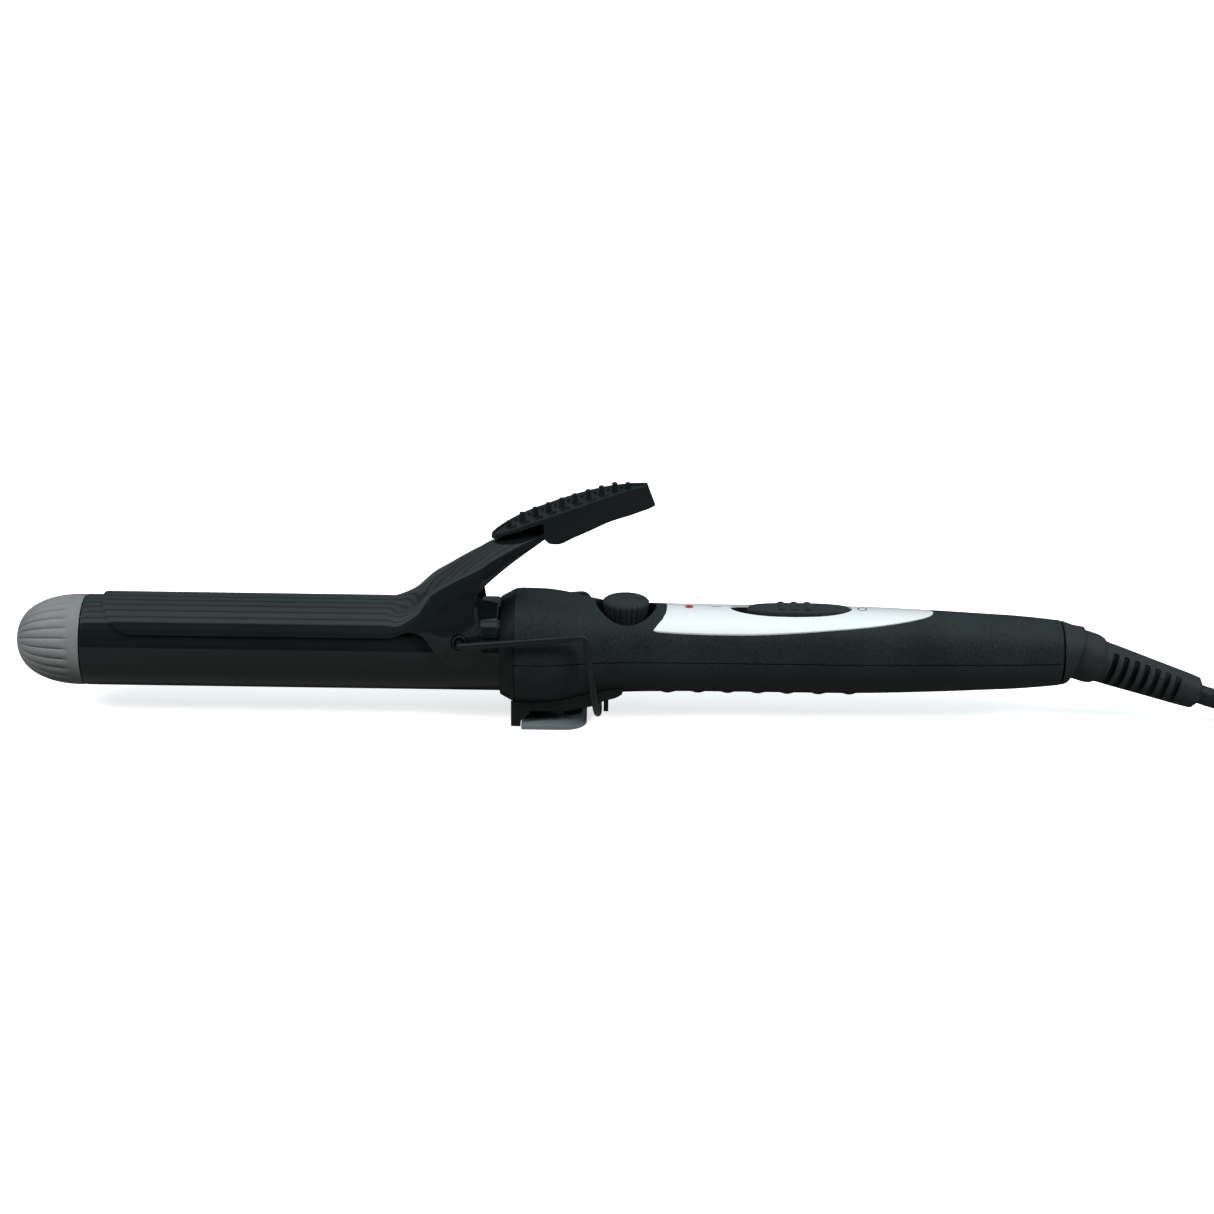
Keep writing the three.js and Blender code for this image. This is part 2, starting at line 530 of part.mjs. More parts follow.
const indicatorLed = () =>
  turned([[GAP, 0], [GAP, 1.5], [7.4, 1.5], [8.4, 0.7], [8.5, 0]], "z", 12)
    .translate(LAMP.x, 0, 0);

// ---- rest ----------------------------------------------------------------------------------------
// A moulded foot under the bulge: a band that follows the handle, a cross post in front and a catch
// for the wire behind.
function restHeel() {
  const band = turned([[POST.front, 0], [POST.front, 18.2], [1.5, 18.2], [11.2, 16.3], [13.2, 15.2],
    [16.7, 14.2], [18.3, 13.3], [18.6, 0]], "x", 48);
  const width = box(-20, 30, -HEEL_HALF_WIDTH, HEEL_HALF_WIDTH, -30, -6);
  const post = slab([[POST.front, -10], [POST.front, -AXIS_Z], [POST.rear, -AXIS_Z], [POST.rear, -19],
    [-7, -16.8], [-7, -10]], HEEL_HALF_WIDTH);
  const bossFoot = SOLE.thickness + GAP - AXIS_Z;
  const bosses = SOLE_SCREWS.map((x) => rod(bossFoot, -15, 3, "z", 16).translate(x, 0, 0));
  const catchLug = box(13.4, 14.7, -2.6, 2.6, -18.3, -13);
  let heel = solidOf(join(common(band, width), post, ...bosses, catchLug));
  const collarRoom = turned([[-16, 0], [-16, 13.5], [COLLAR_FRONT, 13.9], [SHELL_FRONT, 16.2],
    [SHELL_FRONT, 0]], "x", 48);
  const screw = SHELL_SCREWS[0];
  const tools = [handleOuter(GAP), collarRoom, rod(-25, -10, 1.5, "z", 12).translate(screw.x, 0, 0),
    rod(-25, screw.head + 1.8, 2.9, "z", 16).translate(screw.x, 0, 0),
    ...SOLE_SCREWS.map((x) => rod(-25, -17, 1.3, "z", 12).translate(x, 0, 0))];
  for (const tool of tools) heel = heel.subtract(solidOf(tool));
  return geometryOf(heel);
}

// A flat steel plate, square in front and rounded behind, where the wire loop passes it.
function solePlate() {
  const under = -AXIS_Z;
  const over = SOLE.thickness - AXIS_Z;
  const rounded = plate(roundedRect(SOLE.front, SOLE.rear, SOLE.halfWidth, SOLE.corner), under, over);
  const front = box(SOLE.front, SOLE.front + SOLE.corner, -SOLE.halfWidth, SOLE.halfWidth, under, over);
  const holes = SOLE_SCREWS.map((x) => rod(under - 1, over + 1, 1.9, "z", 12).translate(x, 0, 0));
  return cut(join(rounded, front), ...holes);
}

const soleScrew = (x) =>
  turned([[0.1, 0], [0.1, 1.6], [0.8, 1.6], [0.8, 1], [3.1, 1], [3.1, 0]], "z", 12)
    .translate(x, 0, -AXIS_Z);

// One bent wire: its ends are in the pivot pins, and its loop wraps under the handle.
function wireStand() {
  const centre = STAND_BOTTOM.z + STAND_HALF_WIDTH;
  const slope = (STAND_BOTTOM.x - STAND_CORNER.x) / (STAND_CORNER.z - STAND_BOTTOM.z);
  const half = [[PIVOT.x, 12.6, PIVOT.z], [PIVOT.x, STAND_HALF_WIDTH, PIVOT.z],
    [STAND_CORNER.x, STAND_HALF_WIDTH, STAND_CORNER.z]];
  const loop = [];
  for (let i = 0; i <= 12; i++) {
    const angle = (i * Math.PI) / 12;
    const z = centre - STAND_HALF_WIDTH * Math.sin(angle);
    loop.push([STAND_CORNER.x + slope * (STAND_CORNER.z - z), -STAND_HALF_WIDTH * Math.cos(angle), z]);
  }
  const near = half.map(([x, y, z]) => [x, -y, z]);
  const path = bentPath([...near, ...loop, ...half.toReversed()], 1.9);
  return tube(path, WIRE_R, 6, 72);
}

// ---- swivel, cord and plug -----------------------------------------------------------------------
const tilted = (geometry) => geometry.rotateY(RELIEF_TILT).translate(RELIEF_START.x, 0, RELIEF_START.z);

// The neck turns in the handle's end wall, and its rear is mitred to meet the strain relief.
function swivelNeck() {
  const body = turned([[117, 0], [117, 2.6], [126, 2.6], [126, 6.6], [128, 6.6], [128, 5.2], [138.8, 5.2],
    [138.8, 8.8], [140.5, 8.3], [142.5, 7.6], [146.5, 7.1], [150, 7], [150, 0]], "x", 24);
  const beyond = tilted(box(-GAP, 30, -20, 20, -20, 20));
  return cut(body, beyond);
}

const swivelBush = () => ring(128.4, 133.2, 6.9, 5.5, "x", 28);
const slipRing = (x) => ring(x, x + 2, 4.4, 2.9, "x", 20);
const brush = (x) => box(x + 0.2, x + 1.8, -1.2, 1.2, -7.2, -4.7);

function strainRelief() {
  const body = turned([[0, 0], [0, 6.9], [4.6, 6.9], [6.2, 6.5], [7.6, 5.8], [34.1, 4.6], [35.8, 4.1],
    [RELIEF_LENGTH, 3.2], [RELIEF_LENGTH, 0]], "x", 28);
  return tilted(cut(body, rod(28, 39, CORD_R + GAP, "x", 16)));
}

const reliefPoint = (s) =>
  [RELIEF_START.x + s * Math.cos(RELIEF_TILT), 0, AXIS_Z - s * Math.sin(RELIEF_TILT)];

// From inside the strain relief down to the table, swinging to the side that the hank starts on.
function cordTube() {
  const route = [reliefPoint(29), reliefPoint(32.5), reliefPoint(RELIEF_LENGTH), [183, 0, 7.35]];
  for (const [x, z] of [[188, 6.3], [195, 5.05], [202, 4.3], [209, HANK.low + CORD_R]]) {
    route.push([x, -HANK.turnR * (0.5 - 0.5 * Math.cos((Math.PI * (x - 184)) / 51)), z]);
  }
  return tube(smoothPath(route), CORD_R, 10, 16);
}

// Half width of the hank along its length, drawn in by the tie.
function hankHalfWidth(x) {
  const off = Math.min(1, Math.abs(x - WAIST.x) / WAIST.reach);
  return HANK.turnR + CORD_R - WAIST.depth * (0.5 + 0.5 * Math.cos(Math.PI * off));
}

function cordHank() {
  const r = HANK.turnR + CORD_R;
  const near = Array.from({ length: 13 }, (_, i) => {
    const x = HANK.front + ((HANK.rear - HANK.front) * i) / 12;
    return [x, -hankHalfWidth(x)];
  });
  const end = (x, start) =>
    Array.from({ length: 9 }, (_, i) => {
      const angle = THREE.MathUtils.degToRad(start + 18 * (i + 1));
      return [x + r * Math.cos(angle), r * Math.sin(angle)];
    });
  const far = near.map(([x, y]) => [x, -y]).toReversed();
  const outline = [...near, ...end(HANK.rear, -90), ...far, ...end(HANK.front, 90)];
  return plate(shapeOf(outline), HANK.low, HANK.high);
}

// A strap round the waist of the hank; the hank rests on it.
function cordTie() {
  const inside = hankHalfWidth(WAIST.x + 5) + 0.9;
  const outside = inside + 0.7;
  const outer = box(WAIST.x - 5, WAIST.x + 5, -outside, outside, 0, HANK.high + 1);
  const inner = box(WAIST.x - 6, WAIST.x + 6, -inside, inside, HANK.low - 0.4, HANK.high + 0.3);
  return cut(outer, inner);
}

// The last stretch climbs out of the hank to the plug, which lies on top.
function cordTail() {
  const route = [[289, 22.3], [293, 24], [297, 24.8], [PLUG.rear - 14.3, PLUG.low + PLUG.height / 2]];
  return tube(smoothPath(route.map(([x, z]) => [x, PLUG.y, z])), CORD_R, 10, 6);
}

// A flat two-pin plug that lies on its broad side.
function plugBody() {
  const { face, rear, halfWidth } = PLUG;
  const outline = [[face, -halfWidth], [face - 12, -halfWidth], [rear + 8, -7.5], [rear, -5.6], [rear, 5.6],
    [rear + 8, 7.5], [face - 12, halfWidth], [face, halfWidth]];
  return plate(shapeOf(outline), PLUG.low, PLUG.low + PLUG.height).translate(0, PLUG.y, 0);
}

const plugRelief = () =>
  turned([[-14, 3.9], [-GAP, 5.2], [-GAP, 3.05], [-14, 3.05], [-14, 3.9]], "x", 20)
    .translate(PLUG.rear, PLUG.y, PLUG.low + PLUG.height / 2);

const plugPin = (side) =>
  turned([[GAP, 0], [GAP, 2], [18.4, 2], [19.2, 1.2], [19.3, 0]], "x", 16)
    .translate(PLUG.face, PLUG.y + 9.3 * side, PLUG.low + PLUG.height / 2);

// ---- materials -----------------------------------------------------------------------------------
const material = (color, roughness, metalness = 0) =>
  new THREE.MeshStandardMaterial({ color, roughness, metalness });

const glossCeramic = material("#0b0d0e", 0.12, 0.2);
const greyTip = material("#73706e", 0.4);
const softBlack = material("#17191b", 0.55);
const satinBlack = material("#101113", 0.35);
const blackWire = material("#15171a", 0.3, 0.4);
const silverTrim = material("#e4e7e8", 0.3, 0.6);
const redLens = material("#b0182a", 0.15);
const steel = material("#a9afb3", 0.35, 0.9);
const brass = material("#b8954a", 0.35, 0.9);
const aluminium = material("#b8bcc0", 0.4, 0.9);
const whiteCeramic = material("#e6e2d8", 0.6);
const boardGreen = material("#1f5a38", 0.5);
const rubberBlack = material("#131415", 0.6);

// ---- assembly ------------------------------------------------------------------------------------
const curlingIron = new THREE.Group();
const aboutAxis = new THREE.Group();
aboutAxis.position.z = AXIS_Z;
curlingIron.add(aboutAxis);

function place(group, name, geometry, look) {
  const mesh = new THREE.Mesh(geometry, look);
  mesh.name = name;
  group.add(mesh);
}

place(aboutAxis, "barrel", barrel(), glossCeramic);
place(aboutAxis, "cool_tip", coolTip(), greyTip);
place(aboutAxis, "heater_core", heaterCore(), whiteCeramic);
place(aboutAxis, "heat_spreader_upper", heatSpreader(1), aluminium);
place(aboutAxis, "heat_spreader_lower", heatSpreader(-1), aluminium);
place(aboutAxis, "thermal_fuse", thermalFuse(), steel);
place(aboutAxis, "thermistor", thermistor(), whiteCeramic);
place(aboutAxis, "heater_lead_live", heaterLead(-1), rubberBlack);
place(aboutAxis, "heater_lead_neutral", heaterLead(1), rubberBlack);
place(aboutAxis, "ceramic_bush", ceramicBush(), whiteCeramic);
place(aboutAxis, "heat_shield", heatShield(), whiteCeramic);
place(aboutAxis, "front_collar", frontCollar(), satinBlack);
place(aboutAxis, "pivot_saddle", pivotSaddle(), glossCeramic);
place(aboutAxis, "pivot_pin_near", pivotPin(-1), steel);
place(aboutAxis, "pivot_pin_far", pivotPin(1), steel);
place(aboutAxis, "clip_spring", clipSpring(), steel);
place(aboutAxis, "clip_spoon", clipSpoon(), glossCeramic);
place(aboutAxis, "thumb_rest", thumbRest(), satinBlack);
place(aboutAxis, "thumb_rest_screw", thumbRestScrew(), steel);
place(aboutAxis, "handle_upper_shell", upperShell(), softBlack);
place(aboutAxis, "handle_lower_shell", lowerShell(), softBlack);
place(aboutAxis, "shell_screw_front", shellScrew(SHELL_SCREWS[0]), steel);
place(aboutAxis, "shell_screw_rear", shellScrew(SHELL_SCREWS[1]), steel);
place(aboutAxis, "trim_panel", trimPanel(), silverTrim);
place(aboutAxis, "control_board", controlBoard(), boardGreen);
place(aboutAxis, "potentiometer", potentiometer(), steel);
place(aboutAxis, "dial_knob", dialKnob(), satinBlack);
place(aboutAxis, "slide_switch", slideSwitch(), satinBlack);
place(aboutAxis, "switch_slider", switchSlider(), satinBlack);
place(aboutAxis, "indicator_lens", indicatorLens(), redLens);
place(aboutAxis, "indicator_led", indicatorLed(), redLens);
place(aboutAxis, "rest_heel", restHeel(), satinBlack);
place(aboutAxis, "sole_plate", solePlate(), steel);
place(aboutAxis, "sole_screw_front", soleScrew(SOLE_SCREWS[0]), steel);
place(aboutAxis, "sole_screw_rear", soleScrew(SOLE_SCREWS[1]), steel);
place(aboutAxis, "wire_stand", wireStand(), blackWire);
place(aboutAxis, "swivel_neck", swivelNeck(), satinBlack);
place(aboutAxis, "swivel_bush", swivelBush(), whiteCeramic);
place(aboutAxis, "slip_ring_live", slipRing(119), brass);
place(aboutAxis, "slip_ring_neutral", slipRing(122.5), brass);
place(aboutAxis, "brush_live", brush(119), brass);
place(aboutAxis, "brush_neutral", brush(122.5), brass);
place(aboutAxis, "strain_relief", strainRelief(), rubberBlack);
place(curlingIron, "cord_tube", cordTube(), rubberBlack);
place(curlingIron, "cord_hank", cordHank(), rubberBlack);
place(curlingIron, "cord_tie", cordTie(), satinBlack);
place(curlingIron, "cord_tail", cordTail(), rubberBlack);
place(curlingIron, "plug_body", plugBody(), rubberBlack);
place(curlingIron, "plug_relief", plugRelief(), rubberBlack);
place(curlingIron, "plug_pin_near", plugPin(-1), steel);
place(curlingIron, "plug_pin_far", plugPin(1), steel);

export default curlingIron;
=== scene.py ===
import math

import bmesh
import bpy
import numpy as np
from mathutils import Matrix, Quaternion, Vector


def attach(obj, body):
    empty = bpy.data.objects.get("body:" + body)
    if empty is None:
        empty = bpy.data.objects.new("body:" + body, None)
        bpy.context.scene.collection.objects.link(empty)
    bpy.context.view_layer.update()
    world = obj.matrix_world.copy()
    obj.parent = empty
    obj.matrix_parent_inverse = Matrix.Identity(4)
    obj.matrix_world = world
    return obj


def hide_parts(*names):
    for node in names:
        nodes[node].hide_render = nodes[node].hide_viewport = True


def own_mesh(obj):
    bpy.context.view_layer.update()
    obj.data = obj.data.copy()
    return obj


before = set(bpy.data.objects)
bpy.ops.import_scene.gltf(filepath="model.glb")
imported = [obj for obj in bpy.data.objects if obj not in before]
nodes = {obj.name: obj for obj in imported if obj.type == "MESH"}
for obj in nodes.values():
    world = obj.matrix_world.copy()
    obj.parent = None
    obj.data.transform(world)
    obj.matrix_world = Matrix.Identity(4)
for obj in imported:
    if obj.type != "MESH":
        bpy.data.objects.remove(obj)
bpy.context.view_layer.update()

# Lengths below are millimetres, heights are over the barrel's axis unless a name says otherwise.
MM = 0.001
AXIS_Z = 20.5
scene = bpy.context.scene


# ---- curves and numbers --------------------------------------------------------------------------
def pchip(points, x):
    """A smooth curve through (x, y) points that never overshoots them."""
    xs, ys = np.array(points, float).T
    h = np.diff(xs)
    d = np.diff(ys) / h
    m = np.zeros(len(xs))
    m[0], m[-1] = d[0], d[-1]
    for i in range(1, len(xs) - 1):
        if d[i - 1] * d[i] > 0:
            w1, w2 = 2 * h[i] + h[i - 1], h[i] + 2 * h[i - 1]
            m[i] = (w1 + w2) / (w1 / d[i - 1] + w2 / d[i])
    x = np.asarray(x, float)
    k = np.clip(np.searchsorted(xs, x) - 1, 0, len(h) - 1)
    t = (x - xs[k]) / h[k]
    a = (1 + 2 * t) * (1 - t) ** 2 * ys[k] + t * (1 - t) ** 2 * h[k] * m[k]
    return a + t * t * (3 - 2 * t) * ys[k + 1] + t * t * (t - 1) * h[k] * m[k + 1]


def smoothstep(x):
    x = np.clip(x, 0, 1)
    return x * x * (3 - 2 * x)


def through(points, per_span):
    """Catmull-Rom samples through rows of numbers, per_span samples from each row to the next."""
    p = np.array(points, float)
    p = np.vstack([2 * p[0] - p[1], p, 2 * p[-1] - p[-2]])
    out = []
    for i in range(1, len(p) - 2):
        for t in np.arange(per_span) / per_span:
            a = 2 * p[i] + (p[i + 1] - p[i - 1]) * t
            b = (2 * p[i - 1] - 5 * p[i] + 4 * p[i + 1] - p[i + 2]) * t * t
            c = (-p[i - 1] + 3 * p[i] - 3 * p[i + 1] + p[i + 2]) * t**3
            out.append((a + b + c) / 2)
    out.append(p[-2])
    return np.array(out)


def even(points, step):
    """The polyline again, with its points about a step apart."""
    p = np.array(points, float)
    s = np.concatenate([[0], np.cumsum(np.linalg.norm(np.diff(p, axis=0), axis=1))])
    at = np.linspace(0, s[-1], max(2, int(round(s[-1] / step)) + 1))
    return np.stack([np.interp(at, s, p[:, i]) for i in range(p.shape[1])], axis=1)


def fillet(points, reach, closed=False, steps=4):
    """An outline with its corners rounded to a reach, or less where a side is short."""
    p = [np.array(q, float) for q in points]
    out = []
    for i, q in enumerate(p):
        if not closed and i in (0, len(p) - 1):
            out.append(tuple(q))
            continue
        before, after = p[i - 1] - q, p[(i + 1) % len(p)] - q
        cut = min(reach, 0.48 * np.linalg.norm(before), 0.48 * np.linalg.norm(after))
        a = q + before / np.linalg.norm(before) * cut
        b = q + after / np.linalg.norm(after) * cut
        for t in np.linspace(0, 1, steps + 1):
            out.append(tuple((1 - t) ** 2 * a + 2 * t * (1 - t) * q + t * t * b))
    if closed:
        out.append(out[0])
    return out


# ---- meshes --------------------------------------------------------------------------------------
def mesh_object(name, verts, faces):
    mesh = bpy.data.meshes.new(name)
    mesh.from_pydata([tuple(map(float, v)) for v in verts], [], faces)
    bm = bmesh.new()
    bm.from_mesh(mesh)
    bmesh.ops.remove_doubles(bm, verts=bm.verts, dist=1e-4)
    bmesh.ops.recalc_face_normals(bm, faces=bm.faces)
    bm.to_mesh(mesh)
    bm.free()
    obj = bpy.data.objects.new(name, mesh)
    scene.collection.objects.link(obj)
    return obj


def revolve(name, profile, axis="x", segments=96, shape=None):
    """A profile of (distance along the axis, radius) turned about it. On X, the angle starts at the top
    and goes towards the viewer's side. A profile that ends where it began makes a ring."""
    closed = profile[0] == profile[-1]
    rows = profile[:-1] if closed else profile
    verts, rings = [], []
    for along, r in rows:
        if r < 1e-6 and not closed:
            rings.append([len(verts)] * segments)
            angles = [0.0]
        else:
            rings.append(list(range(len(verts), len(verts) + segments)))
            angles = [2 * math.pi * j / segments for j in range(segments)]
        for angle in angles:
            a, q = shape(along, r, angle) if shape and r > 1e-6 else (along, r)
            s, c = q * math.sin(angle), q * math.cos(angle)
            verts.append({"x": (a, -s, c), "y": (c, a, s), "z": (c, s, a)}[axis])
    faces = []
    pairs = list(zip(rings, rings[1:]))
    if closed:
        pairs.append((rings[-1], rings[0]))
    for low, high in pairs:
        for j in range(segments):
            k = (j + 1) % segments
            quad = list(dict.fromkeys([low[j], low[k], high[k], high[j]]))
            if len(quad) > 2:
                faces.append(quad)
    return mesh_object(name, verts, faces)


def loft(name, rings):
    count = len(rings[0])
    verts = [v for ring in rings for v in ring]
    faces = [
        [i * count + j, i * count + (j + 1) % count, (i + 1) * count + (j + 1) % count, (i + 1) * count + j]
        for i in range(len(rings) - 1)
        for j in range(count)
    ]
    faces.append(list(range(count)))
    faces.append([(len(rings) - 1) * count + j for j in range(count)])
    return mesh_object(name, verts, faces)


def sweep(name, path, section, closed=False, side=None):
    """A closed section of (sideways, upwards) points carried along a path without twisting."""
    p = np.array(path, float)
    n = len(p)
    ahead = np.roll(p, -1, 0) - np.roll(p, 1, 0) if closed else np.gradient(p, axis=0)
    ahead /= np.linalg.norm(ahead, axis=1)[:, None]
    up = np.array(side if side is not None else (0.0, 0.0, 1.0), float)
    if side is None and abs(ahead[0] @ up) > 0.9:
        up = np.array((0.0, 1.0, 0.0))
    rings = []
    for i in range(n):
        up = up - ahead[i] * (up @ ahead[i])
        up /= np.linalg.norm(up)
        across = np.cross(ahead[i], up)
        rings.append([p[i] + across * u + up * v for u, v in section])
    count = len(section)
    verts = [v for ring in rings for v in ring]
    spans = n if closed else n - 1
    faces = [
        [i * count + j, i * count + (j + 1) % count, ((i + 1) % n) * count + (j + 1) % count,
         ((i + 1) % n) * count + j]
        for i in range(spans)
        for j in range(count)
    ]
    if not closed:
        faces.append(list(range(count)))
        faces.append([(n - 1) * count + j for j in range(count)])
    return mesh_object(name, verts, faces)


def circle(r, sides):
    return [(r * math.cos(2 * math.pi * i / sides),
             r * math.sin(2 * math.pi * i / sides)) for i in range(sides)]


def sheet(name, grid, thickness):
    """A sheet of even thickness below a grid of points, with its rim closed by flat faces."""
    g = np.array(grid, float)
    along, across = np.gradient(g, axis=0), np.gradient(g, axis=1)
    normal = np.cross(along, across)
    normal /= np.linalg.norm(normal, axis=2)[:, :, None]
    if normal[0, g.shape[1] // 2, 2] < 0:
        normal = -normal
    under = g - normal * thickness
    rows, columns = g.shape[:2]
    verts = np.concatenate([g.reshape(-1, 3), under.reshape(-1, 3)])
    offset = rows * columns
    faces = []
    for i in range(rows - 1):
        for j in range(columns - 1):
            a = i * columns + j
            faces.append([a, a + 1, a + columns + 1, a + columns])
            faces.append([a + offset, a + columns + offset, a + columns + 1 + offset, a + 1 + offset])
    rim = [j for j in range(columns)]
    rim += [i * columns + columns - 1 for i in range(1, rows)]
    rim += [(rows - 1) * columns + j for j in range(columns - 2, -1, -1)]
    rim += [i * columns for i in range(rows - 2, 0, -1)]
    faces += [[a, b, b + offset, a + offset] for a, b in zip(rim, rim[1:] + rim[:1])]
    return mesh_object(name, verts, faces)


def prism(name, outline, low, high):
    """A plan outline between two heights."""
    count = len(outline)
    verts = [(x, y, z) for z in (low, high) for x, y in outline]
    faces = [[i, (i + 1) % count, count + (i + 1) % count, count + i] for i in range(count)]
    faces += [list(range(count)), list(range(count, 2 * count))]
    return mesh_object(name, verts, faces)


def block(name, x0, x1, y0, y1, z0, z1):
    return prism(name, [(x0, y0), (x1, y0), (x1, y1), (x0, y1)], z0, z1)


def slab(name, outline, half_width):
    """A side-view outline of (x, z) points, as wide as twice half_width."""
    obj = prism(name, outline, -half_width, half_width)
    obj.data.transform(Matrix.Rotation(math.radians(90), 4, "X"))
    return obj


def moved(obj, x=0.0, y=0.0, z=0.0):
    obj.data.transform(Matrix.Translation((x, y, z)))
    return obj


def bake_modifiers(obj):
    graph = bpy.context.evaluated_depsgraph_get()
    mesh = bpy.data.meshes.new_from_object(obj.evaluated_get(graph))
    obj.modifiers.clear()
    obj.data = mesh
    return obj


def carve(obj, *tools, operation="DIFFERENCE"):
    """obj less, plus or within each tool, which is used up."""
    for tool in tools:
        modifier = obj.modifiers.new("carve", "BOOLEAN")
        modifier.operation = operation
        modifier.solver = "MANIFOLD"
        modifier.object = tool
        bake_modifiers(obj)
        bpy.data.objects.remove(tool)
        if not len(obj.data.polygons):
            raise ValueError(f"{obj.name} is empty after a cut")
    return obj


def soften(obj, width, segments=2, angle=40):
    modifier = obj.modifiers.new("soften", "BEVEL")
    modifier.width = width
    modifier.segments = segments
    modifier.limit_method = "ANGLE"
    modifier.angle_limit = math.radians(angle)
    return bake_modifiers(obj)


def weigh_normals(obj):
    """Shades by the large faces, so that the thin ones a cut leaves behind don't show."""
    modifier = obj.modifiers.new("weigh", "WEIGHTED_NORMAL")
    modifier.mode = "FACE_AREA"
    modifier.weight = 100
    modifier.keep_sharp = True
    return bake_modifiers(obj)


def piece(obj, body, look, slot, *stands_for, lift=AXIS_Z, sharp=32, weighed=False):
    """Puts a finished piece into the frame: metres, true height, shading, finish and body."""
    obj.data.transform(Matrix.Translation((0, 0, lift * MM)) @ Matrix.Scale(MM, 4))
    obj.data.shade_smooth()
    obj.data.set_sharp_from_angle(angle=math.radians(sharp))
    if weighed:
        weigh_normals(obj)
    obj.data.materials.clear()
    obj.data.materials.append(look)
    if stands_for:
        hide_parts(*stands_for)
    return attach(obj, body)


# ---- camera --------------------------------------------------------------------------------------
def aim_camera():
    target = Vector((0.01395, 0.0, 0.0320))
    elevation = math.radians(20)
    back = Vector((0, -math.cos(elevation), math.sin(elevation)))
    data = bpy.data.cameras.new("camera")
    data.sensor_width = 36
    data.lens = 74.1
    camera = bpy.data.objects.new("camera", data)
    scene.collection.objects.link(camera)
    camera.location = target + back * 0.684
    camera.rotation_mode = "QUATERNION"
    roll = Quaternion((0, 0, 1), math.radians(0.81))
    camera.rotation_quaternion = (-back).to_track_quat("-Z", "Y") @ roll
    scene.camera = camera


aim_camera()


# ---- finishes ------------------------------------------------------------------------------------
class Finish:
    """A principled material whose colour, roughness and relief come from nodes in object space."""

    def __init__(self, name, roughness, metallic=0.0, specular=0.5, coat=0.0, coat_roughness=0.1):
        self.material = bpy.data.materials.new(name)
        self.material.use_nodes = True
        self.tree = self.material.node_tree
        self.shader = self.tree.nodes["Principled BSDF"]
        self.shader.inputs["Metallic"].default_value = metallic
        self.shader.inputs["Specular IOR Level"].default_value = specular
        self.shader.inputs["Coat Weight"].default_value = coat
        self.shader.inputs["Coat Roughness"].default_value = coat_roughness
        self.shader.inputs["Roughness"].default_value = roughness
        self.roughness = roughness
        self.coords = self.add("ShaderNodeTexCoord").outputs["Object"]
        self.relief = None

    def add(self, kind, **settings):
        node = self.tree.nodes.new(kind)
        for key, value in settings.items():
            setattr(node, key, value)
        return node

    def link(self, source, target):
        self.tree.links.new(source, target)

    def math(self, operation, a, b=None, clamp=False):
        node = self.add("ShaderNodeMath", operation=operation, use_clamp=clamp)
        for socket, value in zip(node.inputs, (a, b)):
            if value is None:
                continue
            if isinstance(value, (int, float)):
                socket.default_value = value
            else:
                self.link(value, socket)
        return node.outputs[0]

    def stretched(self, stretch):
        if stretch == (1, 1, 1):
            return self.coords
        mapping = self.add("ShaderNodeMapping")
        mapping.inputs["Scale"].default_value = stretch
        self.link(self.coords, mapping.inputs["Vector"])
        return mapping.outputs["Vector"]

    def noise(self, size_mm, detail=3.0, stretch=(1, 1, 1), rough=0.55):
        node = self.add("ShaderNodeTexNoise")
        node.inputs["Scale"].default_value = 1000.0 / size_mm
        node.inputs["Detail"].default_value = detail
        node.inputs["Roughness"].default_value = rough
        self.link(self.stretched(stretch), node.inputs["Vector"])
        return node.outputs["Fac"]

    def ramp(self, value, low, high, to_low=0.0, to_high=1.0):
        node = self.add("ShaderNodeMapRange", clamp=True)
        for key, number in (("From Min", low), ("From Max", high), ("To Min", to_low), ("To Max", to_high)):
            node.inputs[key].default_value = number
        self.link(value, node.inputs["Value"])
        return node.outputs["Result"]

    def mix(self, factor, a, b):
        node = self.add("ShaderNodeMix", data_type="RGBA")
        self.link(factor, node.inputs[0])
        for socket, value in ((node.inputs[6], a), (node.inputs[7], b)):
            if isinstance(value, tuple):
                socket.default_value = (*value, 1)
            else:
                self.link(value, socket)
        return node.outputs[2]

    def colour(self, output):
        self.link(output, self.shader.inputs["Base Color"])
        return self

    def rough(self, value, spread):
        self.link(self.ramp(value, 0.3, 0.7, self.roughness - spread, self.roughness + spread),
                  self.shader.inputs["Roughness"])
        return self

    def bump(self, height, depth_mm, strength=1.0):
        node = self.add("ShaderNodeBump")
        node.inputs["Distance"].default_value = depth_mm * MM
        node.inputs["Strength"].default_value = strength
        self.link(height, node.inputs["Height"])
        if self.relief is not None:
            self.link(self.relief, node.inputs["Normal"])
        self.relief = node.outputs["Normal"]
        self.link(self.relief, self.shader.inputs["Normal"])
        return self


def grained(name, dark, light, roughness, grain_mm, depth_mm, spread=0.06, stretch=(1, 1, 1), **settings):
    """A moulded or rolled surface: fine grain, and slow drifts of tone and sheen."""
    f = Finish(name, roughness, **settings)
    fine = f.noise(grain_mm, 4, stretch)
    slow = f.noise(grain_mm * 45, 2)
    tone = f.math("ADD", f.math("MULTIPLY", fine, 0.7), f.math("MULTIPLY", slow, 0.3))
    f.colour(f.mix(f.ramp(tone, 0.35, 0.65), dark, light))
    f.rough(f.math("ADD", f.math("MULTIPLY", slow, 0.6), f.math("MULTIPLY", fine, 0.4)), spread)
    f.bump(fine, depth_mm)
    return f


